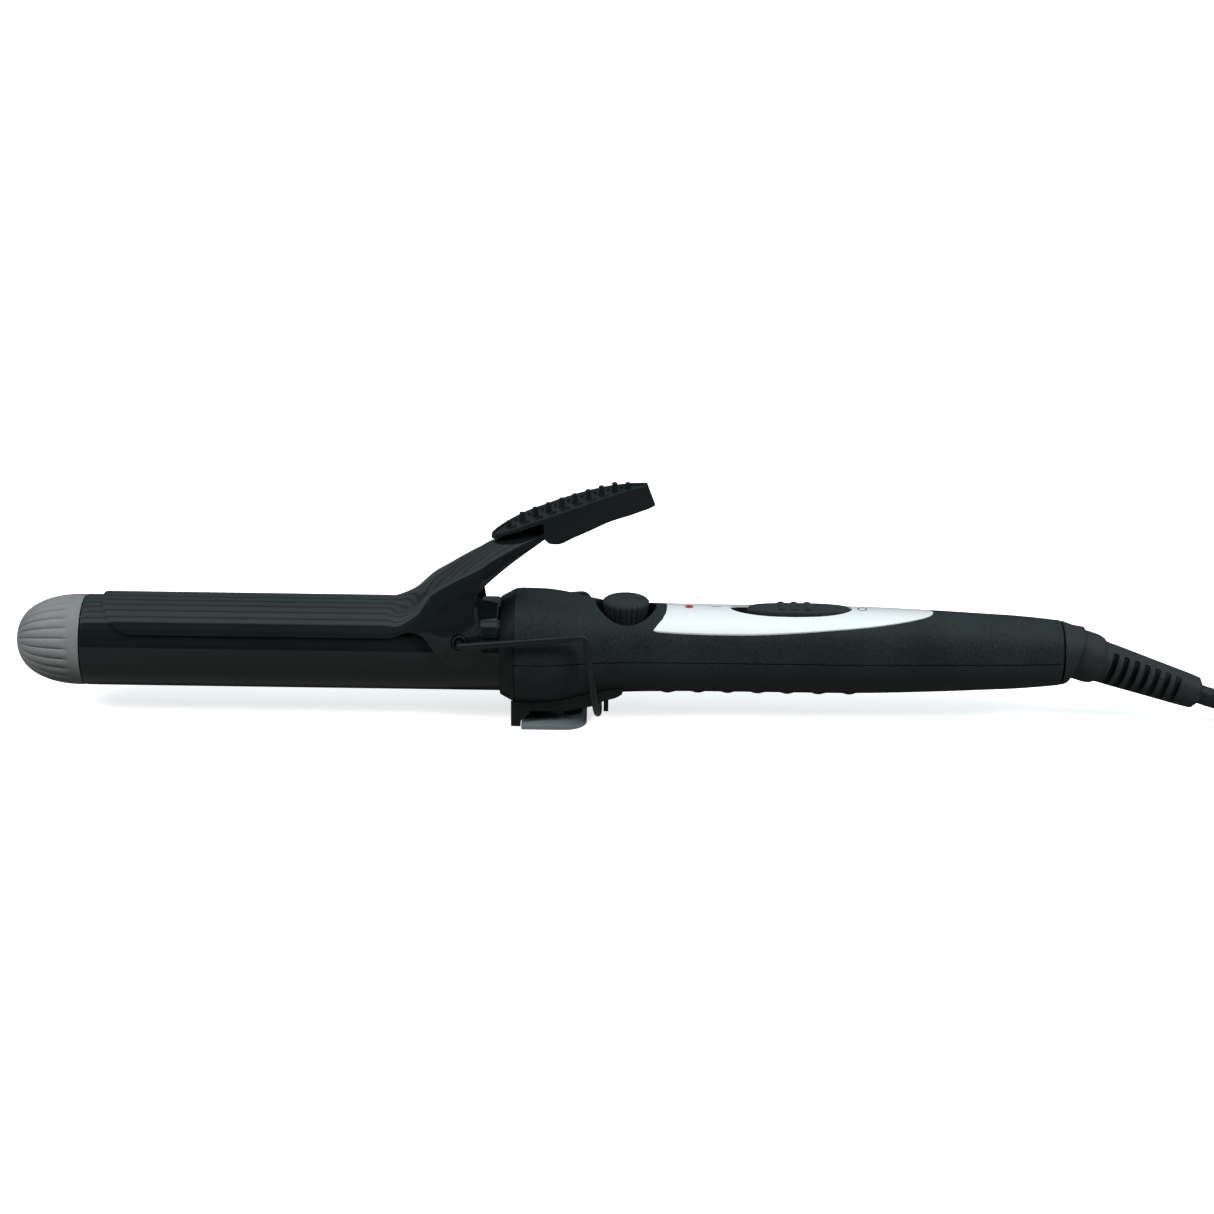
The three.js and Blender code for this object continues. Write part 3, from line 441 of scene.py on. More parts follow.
def gloss_ceramic():
    f = Finish("gloss_ceramic_coating", 0.075, specular=0.55, coat=0.25, coat_roughness=0.05)
    fine = f.noise(0.25, 3)
    slow = f.noise(16, 2, (0.25, 1, 1))
    fleck = f.add("ShaderNodeTexVoronoi")
    fleck.inputs["Scale"].default_value = 3200
    f.link(f.coords, fleck.inputs["Vector"])
    spark = f.ramp(fleck.outputs["Distance"], 0.10, 0.02)
    base = f.mix(f.ramp(slow, 0.3, 0.7), (0.0035, 0.0046, 0.0048), (0.0065, 0.0083, 0.0087))
    f.colour(f.mix(f.math("MULTIPLY", spark, 0.25), base, (0.09, 0.10, 0.105)))
    f.rough(slow, 0.02)
    f.bump(fine, 0.001)
    f.bump(slow, 0.015)
    return f.material


def silver_paint():
    """Silver lacquer with fine flakes, and the two plain marks of the switch: a dash and a ring."""
    f = Finish("silver_lacquer", 0.28, metallic=0.45, specular=0.5, coat=0.3, coat_roughness=0.12)
    flakes = f.noise(0.12, 2)
    slow = f.noise(9, 2)
    paint = f.mix(f.ramp(flakes, 0.3, 0.7), (0.77, 0.79, 0.795), (0.9, 0.915, 0.92))
    split = f.add("ShaderNodeSeparateXYZ")
    f.link(f.coords, split.inputs[0])
    x, y = split.outputs["X"], split.outputs["Y"]

    def within(value, centre, half):
        off = f.math("ABSOLUTE", f.math("SUBTRACT", value, centre * MM))
        return f.math("LESS_THAN", off, half * MM)

    dash = f.math("MULTIPLY", within(x, 43.8, 1.3), within(y, 0, 0.17))
    dx = f.math("SUBTRACT", x, 83.8 * MM)
    radius = f.math("SQRT", f.math("ADD", f.math("MULTIPLY", dx, dx), f.math("MULTIPLY", y, y)))
    marks = f.math("ADD", dash, within(radius, 1.15, 0.17), clamp=True)
    f.colour(f.mix(marks, paint, (0.05, 0.055, 0.06)))
    f.rough(slow, 0.05)
    f.bump(flakes, 0.004)
    return f.material


def circuit_board():
    f = Finish("circuit_board", 0.35, specular=0.5, coat=0.3)
    bricks = f.add("ShaderNodeTexBrick")
    bricks.inputs["Scale"].default_value = 260
    bricks.inputs["Mortar Size"].default_value = 0.03
    f.link(f.coords, bricks.inputs["Vector"])
    pads = f.add("ShaderNodeTexVoronoi")
    pads.inputs["Scale"].default_value = 300
    f.link(f.coords, pads.inputs["Vector"])
    tracks = f.mix(bricks.outputs["Fac"], (0.012, 0.09, 0.04), (0.03, 0.2, 0.09))
    f.colour(f.mix(f.ramp(pads.outputs["Distance"], 0.2, 0.16), tracks, (0.75, 0.6, 0.3)))
    f.rough(f.noise(2, 2), 0.08)
    f.bump(bricks.outputs["Fac"], 0.03)
    return f.material


def shadow_toned_steel_plate():
    # Painted shadow: this satin steel's dark grey-teal tone also copies the contact shadow that falls under
    # the heel.
    f = grained("shadow_toned_steel_plate", (0.13, 0.16, 0.17), (0.19, 0.225, 0.235), 0.42, 0.5, 0.006,
                stretch=(0.05, 1, 1), metallic=0.3)
    return f.material


def red_glass():
    f = Finish("red_lens", 0.12, specular=0.6, coat=0.5)
    f.shader.inputs["Transmission Weight"].default_value = 0.15
    swirl = f.noise(0.8, 2)
    f.colour(f.mix(swirl, (0.2, 0.004, 0.01), (0.36, 0.012, 0.022)))
    f.rough(swirl, 0.04)
    f.bump(swirl, 0.01)
    return f.material


gloss = gloss_ceramic()
silver = silver_paint()
shadow_toned_plate = shadow_toned_steel_plate()
lens_red = red_glass()
board_green = circuit_board()
tip_grey = grained("grey_tip_plastic", (0.137, 0.139, 0.141), (0.172, 0.174, 0.176), 0.34, 0.35, 0.006,
                   stretch=(0.3, 1, 1), specular=0.45).material
soft_black = grained("soft_touch_black", (0.0055, 0.0075, 0.0082), (0.0165, 0.0215, 0.0232), 0.5, 0.42, 0.04,
                     specular=0.36).material
satin_black = grained("satin_black_plastic", (0.0045, 0.0058, 0.0062), (0.0082, 0.01, 0.0106), 0.36, 0.5,
                      0.008,
                      specular=0.34).material
knob_black = grained("knob_black_plastic", (0.010, 0.012, 0.0125), (0.017, 0.02, 0.021), 0.42, 0.3, 0.012,
                     specular=0.45).material
rubber = grained("moulded_rubber", (0.011, 0.0125, 0.0135), (0.019, 0.0215, 0.023), 0.5, 0.35, 0.02,
                 specular=0.4).material
cord_pvc = grained("cord_pvc", (0.0075, 0.0095, 0.0102), (0.013, 0.016, 0.017), 0.42, 0.6, 0.015,
                   stretch=(0.4, 0.4, 1), specular=0.45).material
black_wire = grained("black_lacquered_wire", (0.004, 0.0048, 0.005), (0.008, 0.0092, 0.0098), 0.3, 0.3, 0.006,
                     specular=0.5, coat=0.2).material
webbing = grained("woven_strap", (0.010, 0.011, 0.012), (0.03, 0.032, 0.034), 0.75, 0.55, 0.12,
                  spread=0.1, specular=0.3).material
steel = grained("steel", (0.42, 0.43, 0.44), (0.6, 0.61, 0.62), 0.32, 0.3, 0.004, metallic=0.95,
                stretch=(0.15, 1, 1)).material
brass = grained("brass", (0.62, 0.42, 0.16), (0.8, 0.58, 0.26), 0.3, 0.35, 0.005, metallic=0.95).material
aluminium = grained("extruded_aluminium", (0.55, 0.56, 0.57), (0.72, 0.73, 0.74), 0.36, 0.4, 0.01,
                    metallic=0.95, stretch=(0.06, 1, 1)).material
ceramic = grained("sintered_ceramic", (0.66, 0.63, 0.57), (0.8, 0.77, 0.71), 0.62, 0.5, 0.02,
                  specular=0.35).material

# ---- the free cord -------------------------------------------------------------------------------
# Heights here are over the table, as the route lies on it.
CORD_R = 2.75
RELIEF_TILT = math.radians(18.3)
RELIEF_LENGTH = 36.6
HANK_FRONT, HANK_REAR = 235.0, 327.0
WAIST_X, WAIST_REACH, WAIST_DEPTH = 264.0, 29.0, 7.0
OUTER, INNER = 22.1, 16.5
LAYERS = (3.95, 9.55, 15.15)
PLUG_REAR, PLUG_FACE, PLUG_Y, PLUG_Z = 314.0, 350.0, -9.0, 24.9


def relief_point(s):
    return (143 + s * math.cos(RELIEF_TILT), 0, AXIS_Z - s * math.sin(RELIEF_TILT))


def waist(x):
    off = min(1.0, abs(x - WAIST_X) / WAIST_REACH)
    return WAIST_DEPTH * (0.5 + 0.5 * math.cos(math.pi * off))


def near_run(r, z, end=HANK_REAR):
    return [(x, waist(x) - r, z) for x in np.linspace(HANK_FRONT, end, 19)]


def far_run(r0, r1, z):
    out = []
    for t in np.linspace(0, 1, 19):
        x = HANK_REAR + (HANK_FRONT - HANK_REAR) * t
        out.append((x, r0 + (r1 - r0) * float(smoothstep(t)) - waist(x), z))
    return out


def turn(x, start, r0, r1, z0, z1, rise=(0.0, 1.0)):
    """A half turn at an end of the hank, with its radius eased over it and its height over a part of it."""
    out = []
    for t in np.linspace(0, 1, 15)[1:-1]:
        angle = math.radians(start + 180 * t)
        r = r0 + (r1 - r0) * float(smoothstep(t))
        z = z0 + (z1 - z0) * float(smoothstep((t - rise[0]) / (rise[1] - rise[0])))
        out.append((x + r * math.cos(angle), r * math.sin(angle), z))
    return out


def cord_route():
    low, middle, top = LAYERS
    points = [relief_point(29), relief_point(32.5), relief_point(RELIEF_LENGTH), (183, 0, 7.35)]
    for x, z in ((188, 6.3), (195, 5.05), (202, 4.3), (209, low), (218, low), (227, low)):
        points.append((x, -OUTER * (0.5 - 0.5 * math.cos(math.pi * (x - 184) / 51)), z))
    # The radius and height on each near run, far run and next near run, and when the left turn climbs.
    rounds = [
        ((OUTER, low), (OUTER, low), (OUTER, low), (INNER, low)),
        ((INNER, low), (INNER, low), (INNER, low), (INNER, middle)),
        ((INNER, middle), (INNER, middle), (OUTER, middle), (OUTER, middle)),
        ((OUTER, middle), (OUTER, top), (OUTER, top), (OUTER, top)),
        ((OUTER, top), (INNER, top), (INNER, top), (INNER, top)),
    ]
    for near, turned_, far_end, following in rounds:
        points += near_run(*near)
        points += turn(HANK_REAR, -90, near[0], turned_[0], near[1], turned_[1], (0.5, 1.0))
        points += far_run(turned_[0], far_end[0], turned_[1])
        points += turn(HANK_FRONT, 90, far_end[0], following[0], far_end[1], following[1], (0.0, 0.5))
    points += near_run(INNER, top, 264.0)
    for x in (269, 274, 279, 284, 289, 293, 297, 301, 307, 314):
        t = float(smoothstep((x - 269) / 30))
        points.append((x, -9.5 + 0.5 * t, top + (PLUG_Z - top) * t))
    return even(through(points, 6), 1.6)


def make_cord():
    route = cord_route()
    length = float(np.linalg.norm(np.diff(route, axis=0), axis=1).sum()) * MM
    data = bpy.data.curves.new("mains_cord", "CURVE")
    data.dimensions = "3D"
    data.bevel_depth = CORD_R * MM
    data.bevel_resolution = 4
    data.use_fill_caps = True
    spline = data.splines.new("POLY")
    spline.points.add(len(route) - 1)
    for point, (x, y, z) in zip(spline.points, route):
        point.co = (x * MM, y * MM, z * MM, 1)
    spline.use_smooth = True
    data.materials.append(cord_pvc)
    obj = bpy.data.objects.new("mains_cord", data)
    scene.collection.objects.link(obj)
    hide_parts("cord_tube", "cord_hank", "cord_tail")
    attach(obj, "swivel")
    print("cord length", round(length, 4))
    return obj, length


cord, cord_length = make_cord()


# ---- barrel, tip and collar ----------------------------------------------------------------------
BARREL_R = 12.5
PIVOT_X, PIVOT_Z = -25.7, 5.8


def pin_hole(r):
    return moved(revolve("pin_hole", [(-20, 0), (-20, r), (20, r), (20, 0)], "y", 40), PIVOT_X, 0, PIVOT_Z)


def make_barrel():
    outside = [(x, BARREL_R) for x in np.linspace(-128.4, -5, 80)]
    inside = [(x, 11.3) for x in np.linspace(-9, -128.6, 30)]
    ring = [(-128.8, 12.2), (-128.7, 12.4), *outside, (-5, 11.3), *inside, (-128.8, 11.5)]
    obj = revolve("barrel_tube", ring + ring[:1], segments=128)
    carve(obj, pin_hole(2.3))
    piece(obj, "handle", gloss, "gloss_coat", "barrel")


def make_tip():
    nose, seam, flutes, blunt = -148.0, -129.1, 26, 2 / 2.35
    outside = []
    for t in np.linspace(0, 1, 46):
        angle = t * math.pi / 2
        outside.append((seam - (seam - nose) * math.cos(angle) ** blunt, BARREL_R * math.sin(angle) ** blunt))
    outside[-1] = (seam, 12.25)
    outside.insert(-1, (seam - 0.3, 12.47))
    profile = [*outside, (seam, 11.0), (seam + 8, 11.0), (seam + 8, 8.0), (seam, 8.0), (seam - 4, 0)]

    def fluted(along, r, angle):
        if along > seam - 2.6 or r < 8.05 and along > seam - 5:
            return along, r
        share = float(smoothstep((seam - 2.6 - along) / 2.0)) * float(smoothstep(r / 4.0))
        wave = abs(math.sin(flutes * angle / 2)) ** 0.5
        return along, r - share * 0.5 * (1 - wave)

    obj = revolve("tip_moulding", profile, segments=26 * 12, shape=fluted)
    piece(obj, "handle", tip_grey, "grey_tip", "cool_tip", sharp=40)


def make_collar():
    outline = fillet([(-15.1, 12.8), (-15.1, 13.5), (-11.1, 15.7), (-11.1, 12.8)], 0.25, closed=True)
    obj = revolve("collar_cone", outline, segments=128)
    piece(obj, "handle", satin_black, "satin_black", "front_collar")


def make_saddle():
    rows = [(x, 13.4) for x in np.linspace(-37.8, -15.8, 30)]
    ring = [(-38, 13.2), *rows, (-15.5, 13.2), (-15.5, 12.7), (-38, 12.7)]
    obj = revolve("saddle_sleeve", ring + ring[:1], segments=160)
    carve(obj, block("below", -39, -14, -20, 20, -20, 0.8), block("front", -39, PIVOT_X - 5, -20, 20, 0, 6.4),
          block("rear", PIVOT_X + 5, -14, -20, 20, 0, 6.4), pin_hole(2.3))
    piece(obj, "handle", gloss, "gloss_coat", "pivot_saddle")


def make_pin(side, name, node):
    ring = fillet([(6.3, 2.7), (7.1, 2.7), (7.1, 2.0), (14.6, 2.0), (14.6, 1.3), (6.3, 1.3)], 0.3,
                  closed=True)
    obj = revolve(name, ring, "y", 48)
    if side < 0:
        obj.data.transform(Matrix.Rotation(math.pi, 4, "X"))
    moved(obj, PIVOT_X, 0, PIVOT_Z)
    piece(obj, "handle", black_wire, "steel", node)


make_barrel()
make_tip()
make_collar()
make_saddle()
make_pin(-1, "rivet_near", "pivot_pin_near")
make_pin(1, "rivet_far", "pivot_pin_far")

# ---- clip ----------------------------------------------------------------------------------------
CLIP_R, HALF_ANGLE, SHOULDER = 13.4, 64.0, 36.0
SPOON_NOSE, NOSE_DEPTH, SPOON_REAR = -123.7, 9.5, -47.0
# Lower edge (x, y, z), shoulder (x, y, z), crown (x, z) and bulge of the wall, from the spoon upwards.
ARM_ROWS = [
    (-44, 12.1, 6.1, -44, 7.9, 11, -44, 13.45, 0.4),
    (-40.3, 12.4, 7.7, -40.3, 8.1, 12.7, -40.7, 14.5, 0.5),
    (-37.9, 12.8, 7.7, -37.9, 8.3, 14.3, -38.4, 15.6, 0.7),
    (-35.6, 13.2, 6.8, -35.8, 8.5, 16.4, -36.3, 17.3, 1),
    (-33.6, 13.7, 4.4, -34, 8.6, 18, -34.5, 19, 1.3),
    (-31.6, 14, 1.4, -32.2, 8.7, 19.2, -32.9, 20.2, 1.5),
    (-29, 14.2, -0.8, -30.2, 8.7, 20.3, -31, 21.5, 1.6),
    (-25.7, 14.3, -1.7, -28, 8.6, 21.4, -28.7, 23.1, 1.7),
    (-22.3, 14.2, -0.1, -26, 8.5, 22.3, -26.7, 24.5, 1.7),
    (-19.9, 14.1, 3, -24.2, 8.4, 23.2, -25, 25.6, 1.6),
    (-19.3, 14, 6.3, -22.8, 8.3, 23.9, -23.5, 26.5, 1.4),
    (-20, 13.5, 9.6, -21.4, 8.2, 24.5, -22, 27.4, 1.1),
    (-21.6, 12.3, 13, -20, 8, 25.2, -20.6, 28.2, 0.8),
    (-21.7, 11, 16.4, -18.4, 7.8, 26.1, -18.9, 29.3, 0.6),
    (-20, 9.9, 19.3, -16.8, 7.5, 27, -17.1, 30.3, 0.4),
    (-15.8, 8.7, 23.1, -13, 6.9, 29.1, -13.2, 32.2, 0.3),
    (-11.1, 7.5, 26.8, -9.4, 6.3, 31, -9.4, 33.9, 0.2),
    (-5.8, 6.4, 30.6, -5.8, 5.6, 32.7, -5.8, 35.2, 0.1),
    (-2.7, 6.0, 32.9, -2.7, 5.3, 34.3, -2.7, 36.7, 0.1),
]


def spoon_point(degrees, along):
    angle = math.radians(degrees)
    front = SPOON_NOSE + NOSE_DEPTH * (1 - math.sqrt(max(0, 1 - (degrees / HALF_ANGLE) ** 2)))
    return (front + (SPOON_REAR - front) * along, CLIP_R * math.sin(angle), CLIP_R * math.cos(angle))


def arm_point(row, degrees):
    ex, ey, ez, sx, sy, sz, cx, cz, bulge = row
    side, off = (1 if degrees >= 0 else -1), abs(degrees)
    if off <= SHOULDER:
        y = math.sin(math.radians(off)) / math.sin(math.radians(SHOULDER))
        return (cx + (sx - cx) * y * y, side * sy * y, cz + (sz - cz) * y * y)
    down = (off - SHOULDER) / (HALF_ANGLE - SHOULDER)
    out = Vector((sz - ez, ey - sy)).normalized() * (bulge * 4 * down * (1 - down))
    return (sx + (ex - sx) * down, side * (sy + (ey - sy) * down + out.x), sz + (ez - sz) * down + out.y)


def make_clip():
    across = HALF_ANGLE * np.sin(np.linspace(-1, 1, 65) * math.pi / 2)
    spoon = [[spoon_point(a, t) for a in across] for t in np.linspace(0, 1, 60)[:-1]]
    key = [[spoon_point(a, 1 - 3 / 76.7) for a in across], [spoon_point(a, 1.0) for a in across]]
    key += [[arm_point(row, a) for a in across] for row in ARM_ROWS]
    key = np.array(key)
    arm = through(key.reshape(len(key), -1), 6)[6:].reshape(-1, len(across), 3)
    obj = sheet("clip_stamping", np.concatenate([np.array(spoon), arm]), 0.6)
    screw_hole = moved(revolve("screw_hole", [(28, 0), (28, 1.5), (38, 1.5), (38, 0)], "z", 24), -9.5)
    carve(obj, pin_hole(2.3), screw_hole)
    piece(obj, "clip", gloss, "gloss_coat", "clip_spoon", sharp=40)


def make_spring():
    points = [(-34, -2.4, 14.7), (-32.2, -2.4, 14.75), (-30.5, -2.4, 14.8)]
    for i in range(79):
        angle = -math.pi / 2 + 2 * math.pi * i / 24
        points.append((-27 + 2.6 * math.cos(angle), -2.4 + 1.5 * i / 24, 17.6 + 2.6 * math.sin(angle)))
    points += [(-23.6, 2.9, 21), (-22.6, 2.9, 24.2)]
    obj = sweep("torsion_spring", even(through(points, 4), 0.35), circle(0.45, 10))
    piece(obj, "handle", steel, "steel", "clip_spring")
    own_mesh(obj)


# x, half width, top and underside of the thumb rest.
THUMB = [
    (-17.6, 0.7, 32.3, 31.2), (-16.8, 2.2, 32.8, 31.3), (-15.3, 3.7, 33.6, 32), (-12, 5.7, 35.2, 33.6),
    (-7.6, 6.7, 37.2, 35.4), (-3.4, 6.93, 38.8, 37), (-3.1, 6.93, 38.9, 32.6), (-1.6, 6.97, 39.5, 31.4),
    (0.2, 7, 40.2, 31.3), (5, 6.8, 41.9, 33.3), (9.8, 6.2, 43.5, 35.4), (14.2, 5.3, 44.8, 37.3),
    (20, 3.3, 46.2, 38.8),
]


def thumb_ring(half, top, low, top_x, low_x):
    """One section of the thumb rest: a dished deck inside a raised rim, and sides that lean in below."""
    rim, edge = 0.45, min(0.45, (top - low) / 3)
    outline = [(-0.82, low), (0, low - 0.0), (0.82, low), (0.95, low + 0.5 * edge), (1, low + 1.2 * edge),
               (1, top - edge), (0.97, top - 0.25 * edge), (0.93, top)]
    deck = max(0.0, 1 - 1.15 / max(half, 1.2))
    outline += [(deck, top - 0.05), (max(0.0, deck - 0.06), top - rim), (0, top - rim)]
    outline += [(-y, z) for y, z in outline[10 - 1:5 - 1:-1]] + [(-1, low + 1.2 * edge),
                                                                 (-0.95, low + 0.5 * edge)]
    return [(low_x + (top_x - low_x) * (z - low) / (top - low), y * half, z) for y, z in outline]


def thumb_top(x):
    return float(pchip([(s[0], s[2]) for s in THUMB], x))


def make_thumb_rest():
    xs = np.unique(np.concatenate([np.linspace(-17.6, -3.4, 30), np.linspace(-3.1, 20, 38)]))
    step = [s for s in THUMB if s[0] <= -3.4], [s for s in THUMB if s[0] >= -3.1]
    rings = []
    for x in xs:
        part = step[0] if x <= -3.4 else step[1]
        half = float(pchip([(s[0], s[1]) for s in THUMB], x))
        low = float(pchip([(s[0], s[3]) for s in part], x))
        rings.append(thumb_ring(half, thumb_top(x), low, x, x))
    rings.append(thumb_ring(1.9, 46.75, 40.2, 23.4, 24.6))
    rings.append(thumb_ring(1.0, 47, 41, 24.3, 26.6))
    body = loft("thumb_rest_moulding", rings)
    studs = []
    for i in range(10):
        x = -12.9 + 3.56 * i
        high = 2.1 if 0 < i < 9 else 1.3
        studs.append((x, 0.0, 0.78, high))
    for i in range(9):
        x = -11.1 + 3.56 * i
        half = float(pchip([(s[0], s[1]) for s in THUMB], x))
        if half > 3.6:
            studs += [(x, side * 0.5 * half, 0.4, 0.2) for side in (-1, 1)]
    for x, y, r, high in studs:
        base = thumb_top(x) - 0.45
        top = base + 0.45 + high
        peg = revolve("peg", [(base - 0.5, 0), (base - 0.5, r * 1.25), (base + 0.2, r * 1.1),
                              (top - 0.3, r * 0.97),
                              (top - 0.1, r * 0.78), (top, r * 0.42), (top + 0.03, 0)], "z", 20)
        carve(body, moved(peg, x, y, 0), operation="UNION")
    hole = revolve("screw_hole", [(30, 0), (30, 1.5), (35.3, 1.5), (35.3, 0)], "z", 24)
    carve(body, moved(hole, -9.5))
    piece(body, "clip", satin_black, "satin_black", "thumb_rest", sharp=38)


make_clip()
make_spring()
make_thumb_rest()

# ---- handle --------------------------------------------------------------------------------------
HANDLE = [
    (-11, 15.7), (-9.5, 15.9), (-3, 15.8), (0.7, 15.4), (5.4, 14.5), (9.3, 13.6), (12.5, 13), (18, 12.5),
    (26.8, 12.2), (42, 12), (75, 12), (86, 11.85), (97, 11.5), (108, 11.05), (118.7, 10.5), (124, 10.25),
    (129.6, 9.85), (138.4, 9),
]
DIAL_X, POCKET_R, POCKET_FLOOR = 19.1, 8.4, 6.5
SLOT = (47.5, 81, 4.75)  # front, rear and half width of the switch's opening
BUMPS = (31, 39.3, 47.4, 55.7, 63.8, 72.4, 80.9)


def handle_radius(x):
    return pchip(HANDLE, x)


def handle_outer(grow=0.0, bumps=False, ends=(-11, 138.4)):
    xs = np.arange(ends[0], ends[1], 0.8)
    rows = [(float(x), float(handle_radius(x)) + grow) for x in xs] + [(ends[1],
                                                                        float(handle_radius(ends[1])) + grow)]

    def gripped(along, r, angle):
        under = math.cos(angle - math.pi)
        if not bumps or under < 0.5:
            return along, r
        rise = sum(math.exp(-(((along - x) / 1.35) ** 4)) for x in BUMPS)
        return along, r + 0.42 * rise * float(smoothstep((under - 0.75) / 0.2))

    return revolve("handle_outer", [(ends[0], 0), *rows, (ends[1], 0)], segments=144, shape=gripped)


def handle_hollow():
    inside = [(float(x), float(handle_radius(x)) - 2) for x in np.arange(-12, 133.6, 3.0)]
    profile = [(-12, 0), *inside, (133.6, 7.4), (133.6, 5.6), (140, 5.6), (140, 0)]
    return revolve("hollow", profile, segments=72)


def rod(low, high, r, x=0.0, y=0.0, segments=48):
    return moved(revolve("rod", [(low, 0), (low, r), (high, r), (high, 0)], "z", segments), x, y)


def eye(front, rear, half, power=2.4):
    """A long opening with rounded sides that run together at its ends."""
    middle, long = (front + rear) / 2, (rear - front) / 2
    points = []
    for angle in np.linspace(0, 2 * math.pi, 241):
        c, s = math.cos(angle), math.sin(angle)
        points.append((middle + long * math.copysign(abs(c) ** (2 / power), c),
                       half * math.copysign(abs(s) ** (2 / power), s)))
    return even(points, 0.6)[:-1].tolist()


def trim_outline(grow=0.0):
    half = [(26.6, 9.1), (34, 9.25), (52, 9.3), (66, 8.8), (79, 7.9), (88, 6.8), (95, 5.3), (100, 3.6),
            (102.6, 1.8), (103.3, 0)]
    side = through(half, 8)
    front = [(30.4, 0), (30.3, 2.2), (30.0, 4.2), (29.1, 6.3)]
    points = [*front, *[(x, max(y, 0.0)) for x, y in side]]
    points += [(x, -y) for x, y in reversed(points[1:-1])]
    p = np.array(points)
    ahead = np.roll(p, -1, 0) - np.roll(p, 1, 0)
    ahead /= np.linalg.norm(ahead, axis=1)[:, None]
    out = np.stack([-ahead[:, 1], ahead[:, 0]], axis=1)
    if (out[1] @ np.array([1.0, 0.0])) > 0:
        out = -out
    return [tuple(v) for v in p + out * grow]


def barrel_room():
    return revolve("barrel_room", [(-12, 0), (-12, 13.7), (-4.5, 13.7), (-4.5, 0)], segments=96)


def make_upper_shell():
    shell = handle_outer()
    shell.name = "upper_shell_moulding"
    carve(shell, handle_hollow())
    fills = [rod(POCKET_FLOOR - 1.6, 20, POCKET_R + 1.6, DIAL_X), block("tray", 45.5, 83, -6.6, 6.6, 7.4, 20),
             rod(0.15, 20, 3.2, 0.2), rod(0.15, 20, 3.2, 112)]
    for fill in fills:
        carve(fill, handle_outer(), operation="INTERSECT")
        carve(shell, fill, operation="UNION")
    seat = prism("seat", trim_outline(0.22), 0, 20)
    carve(seat, handle_outer(-1.05))
    carve(shell, rod(POCKET_FLOOR, 20, POCKET_R, DIAL_X, segments=96),
          prism("slot", eye(*SLOT), 9, 20),
          rod(0, 20, 3.6, DIAL_X), block("stem_slot", 58.8, 70.6, -1.9, 1.9, 5, 20), rod(5, 20, 1.35, 36.4),
          block("below", -40, 160, -30, 30, -30, 0.15), barrel_room(), rod(-1, 8, 1.5, 0.2),
          rod(-1, 7, 1.5, 112), seat)
    soften(shell, 0.16, 2, 45)
    piece(shell, "handle", soft_black, "soft_black", "handle_upper_shell")


def make_lower_shell():
    shell = handle_outer(bumps=True)
    shell.name = "lower_shell_moulding"
    carve(shell, handle_hollow())
    for x in (0.2, 112):
        boss = rod(-20, -0.15, 3.2, x)
        carve(boss, handle_outer(), operation="INTERSECT")
        carve(shell, boss, operation="UNION")
    carve(shell, rod(-20, 1, 1.5, 0.2), rod(-20, 1, 1.5, 112), rod(-20, -8.4, 2.9, 112),
          block("above", -40, 160, -30, 30, -0.15, 30), barrel_room())
    soften(shell, 0.16, 2, 45)
    piece(shell, "handle", soft_black, "soft_black", "handle_lower_shell")


def make_trim():
    skin = handle_outer(0.05, ends=(20, 110))
    carve(skin, handle_outer(-0.75, ends=(19, 111)))
    carve(skin, prism("outline", trim_outline(), 0.5, 20), operation="INTERSECT")
    carve(skin, prism("slot", eye(*SLOT), 5, 20), rod(5, 20, 1.35, 36.4))
    skin.name = "trim_lacquered"
    piece(skin, "handle", silver, "silver_trim", "trim_panel", weighed=True)


make_upper_shell()
make_lower_shell()
make_trim()


# ---- controls ------------------------------------------------------------------------------------
def make_knob():
    flutes = 24
    side = [(7.0, 4.9), (7.3, 5.15), (9, 5.57), (11, 6.03), (12.6, 6.37), (13.1, 6.43), (13.45, 6.3),
            (13.7, 6.05)]
    top = [(13.9, 5.65), (13.86, 5.2), (13.98, 4.7), (14.12, 2.2), (14.15, 0)]
    profile = [(8.4, 0), (8.4, 1.8), (4.2, 1.8), (4.2, 3.2), (7, 3.2), *through(side, 4).tolist(), *top]

    def fluted(along, r, angle):
        if along < 7.05 or r < 4.5:
            return along, r
        share = float(smoothstep((along - 7.05) / 1.2)) * float(smoothstep((14.0 - along) / 0.35))
        return along, r - share * 0.34 * (1 - abs(math.sin(flutes * angle / 2)) ** 0.55)

    obj = revolve("heat_dial", profile, "z", 24 * 12, fluted)
    pointer = block("pointer", 2.2, 5.0, -0.28, 0.28, 13.75, 15)
    carve(obj, pointer)
    moved(obj, DIAL_X)
    piece(obj, "dial", knob_black, "satin_black", "dial_knob", sharp=40)


def make_slider():
    """A long oval button: a domed deck with three thumb ridges towards its tail."""
    levels = [(0.0, 9.3), (0.0, 11.3), (0.12, 11.75), (0.35, 12.05), (0.7, 12.25), (1.2, 12.38), (1.8, 12.45),
              (2.5, 12.5), (3.2, 12.5), (3.8, 12.5)]
    rings = []
    for inset, z in levels:
        outline = np.array(eye(52.3 + inset, 80.6 - inset, 4.15 - inset))
        start = int(np.argmax(outline[:, 0]))
        ring = even(np.vstack([np.roll(outline, -start, 0), outline[start]]), 0.1)
        picks = np.linspace(0, len(ring) - 1, 161).round().astype(int)[:-1]
        rings.append([(ring[k][0], ring[k][1], z) for k in picks])
    obj = loft("switch_button", rings)
    carve(obj, block("stem", 63.8, 69.4, -1.5, 1.5, 4.4, 10), operation="UNION")
    for x in (61.6, 65.2, 68.8):
        arch = [(x + 1.25 * math.cos(a), 11.86 + 1.0 * math.sin(a)) for a in np.linspace(0, math.pi, 15)]
        ridge = slab("ridge", fillet([*arch, (x - 1.25, 11.5), (x + 1.25, 11.5)], 0.05, closed=True,
                                     steps=1)[:-1], 2.9)
        carve(obj, ridge, operation="UNION")
    soften(obj, 0.15, 2, 50)
    piece(obj, "slider", knob_black, "satin_black", "switch_slider", sharp=40)


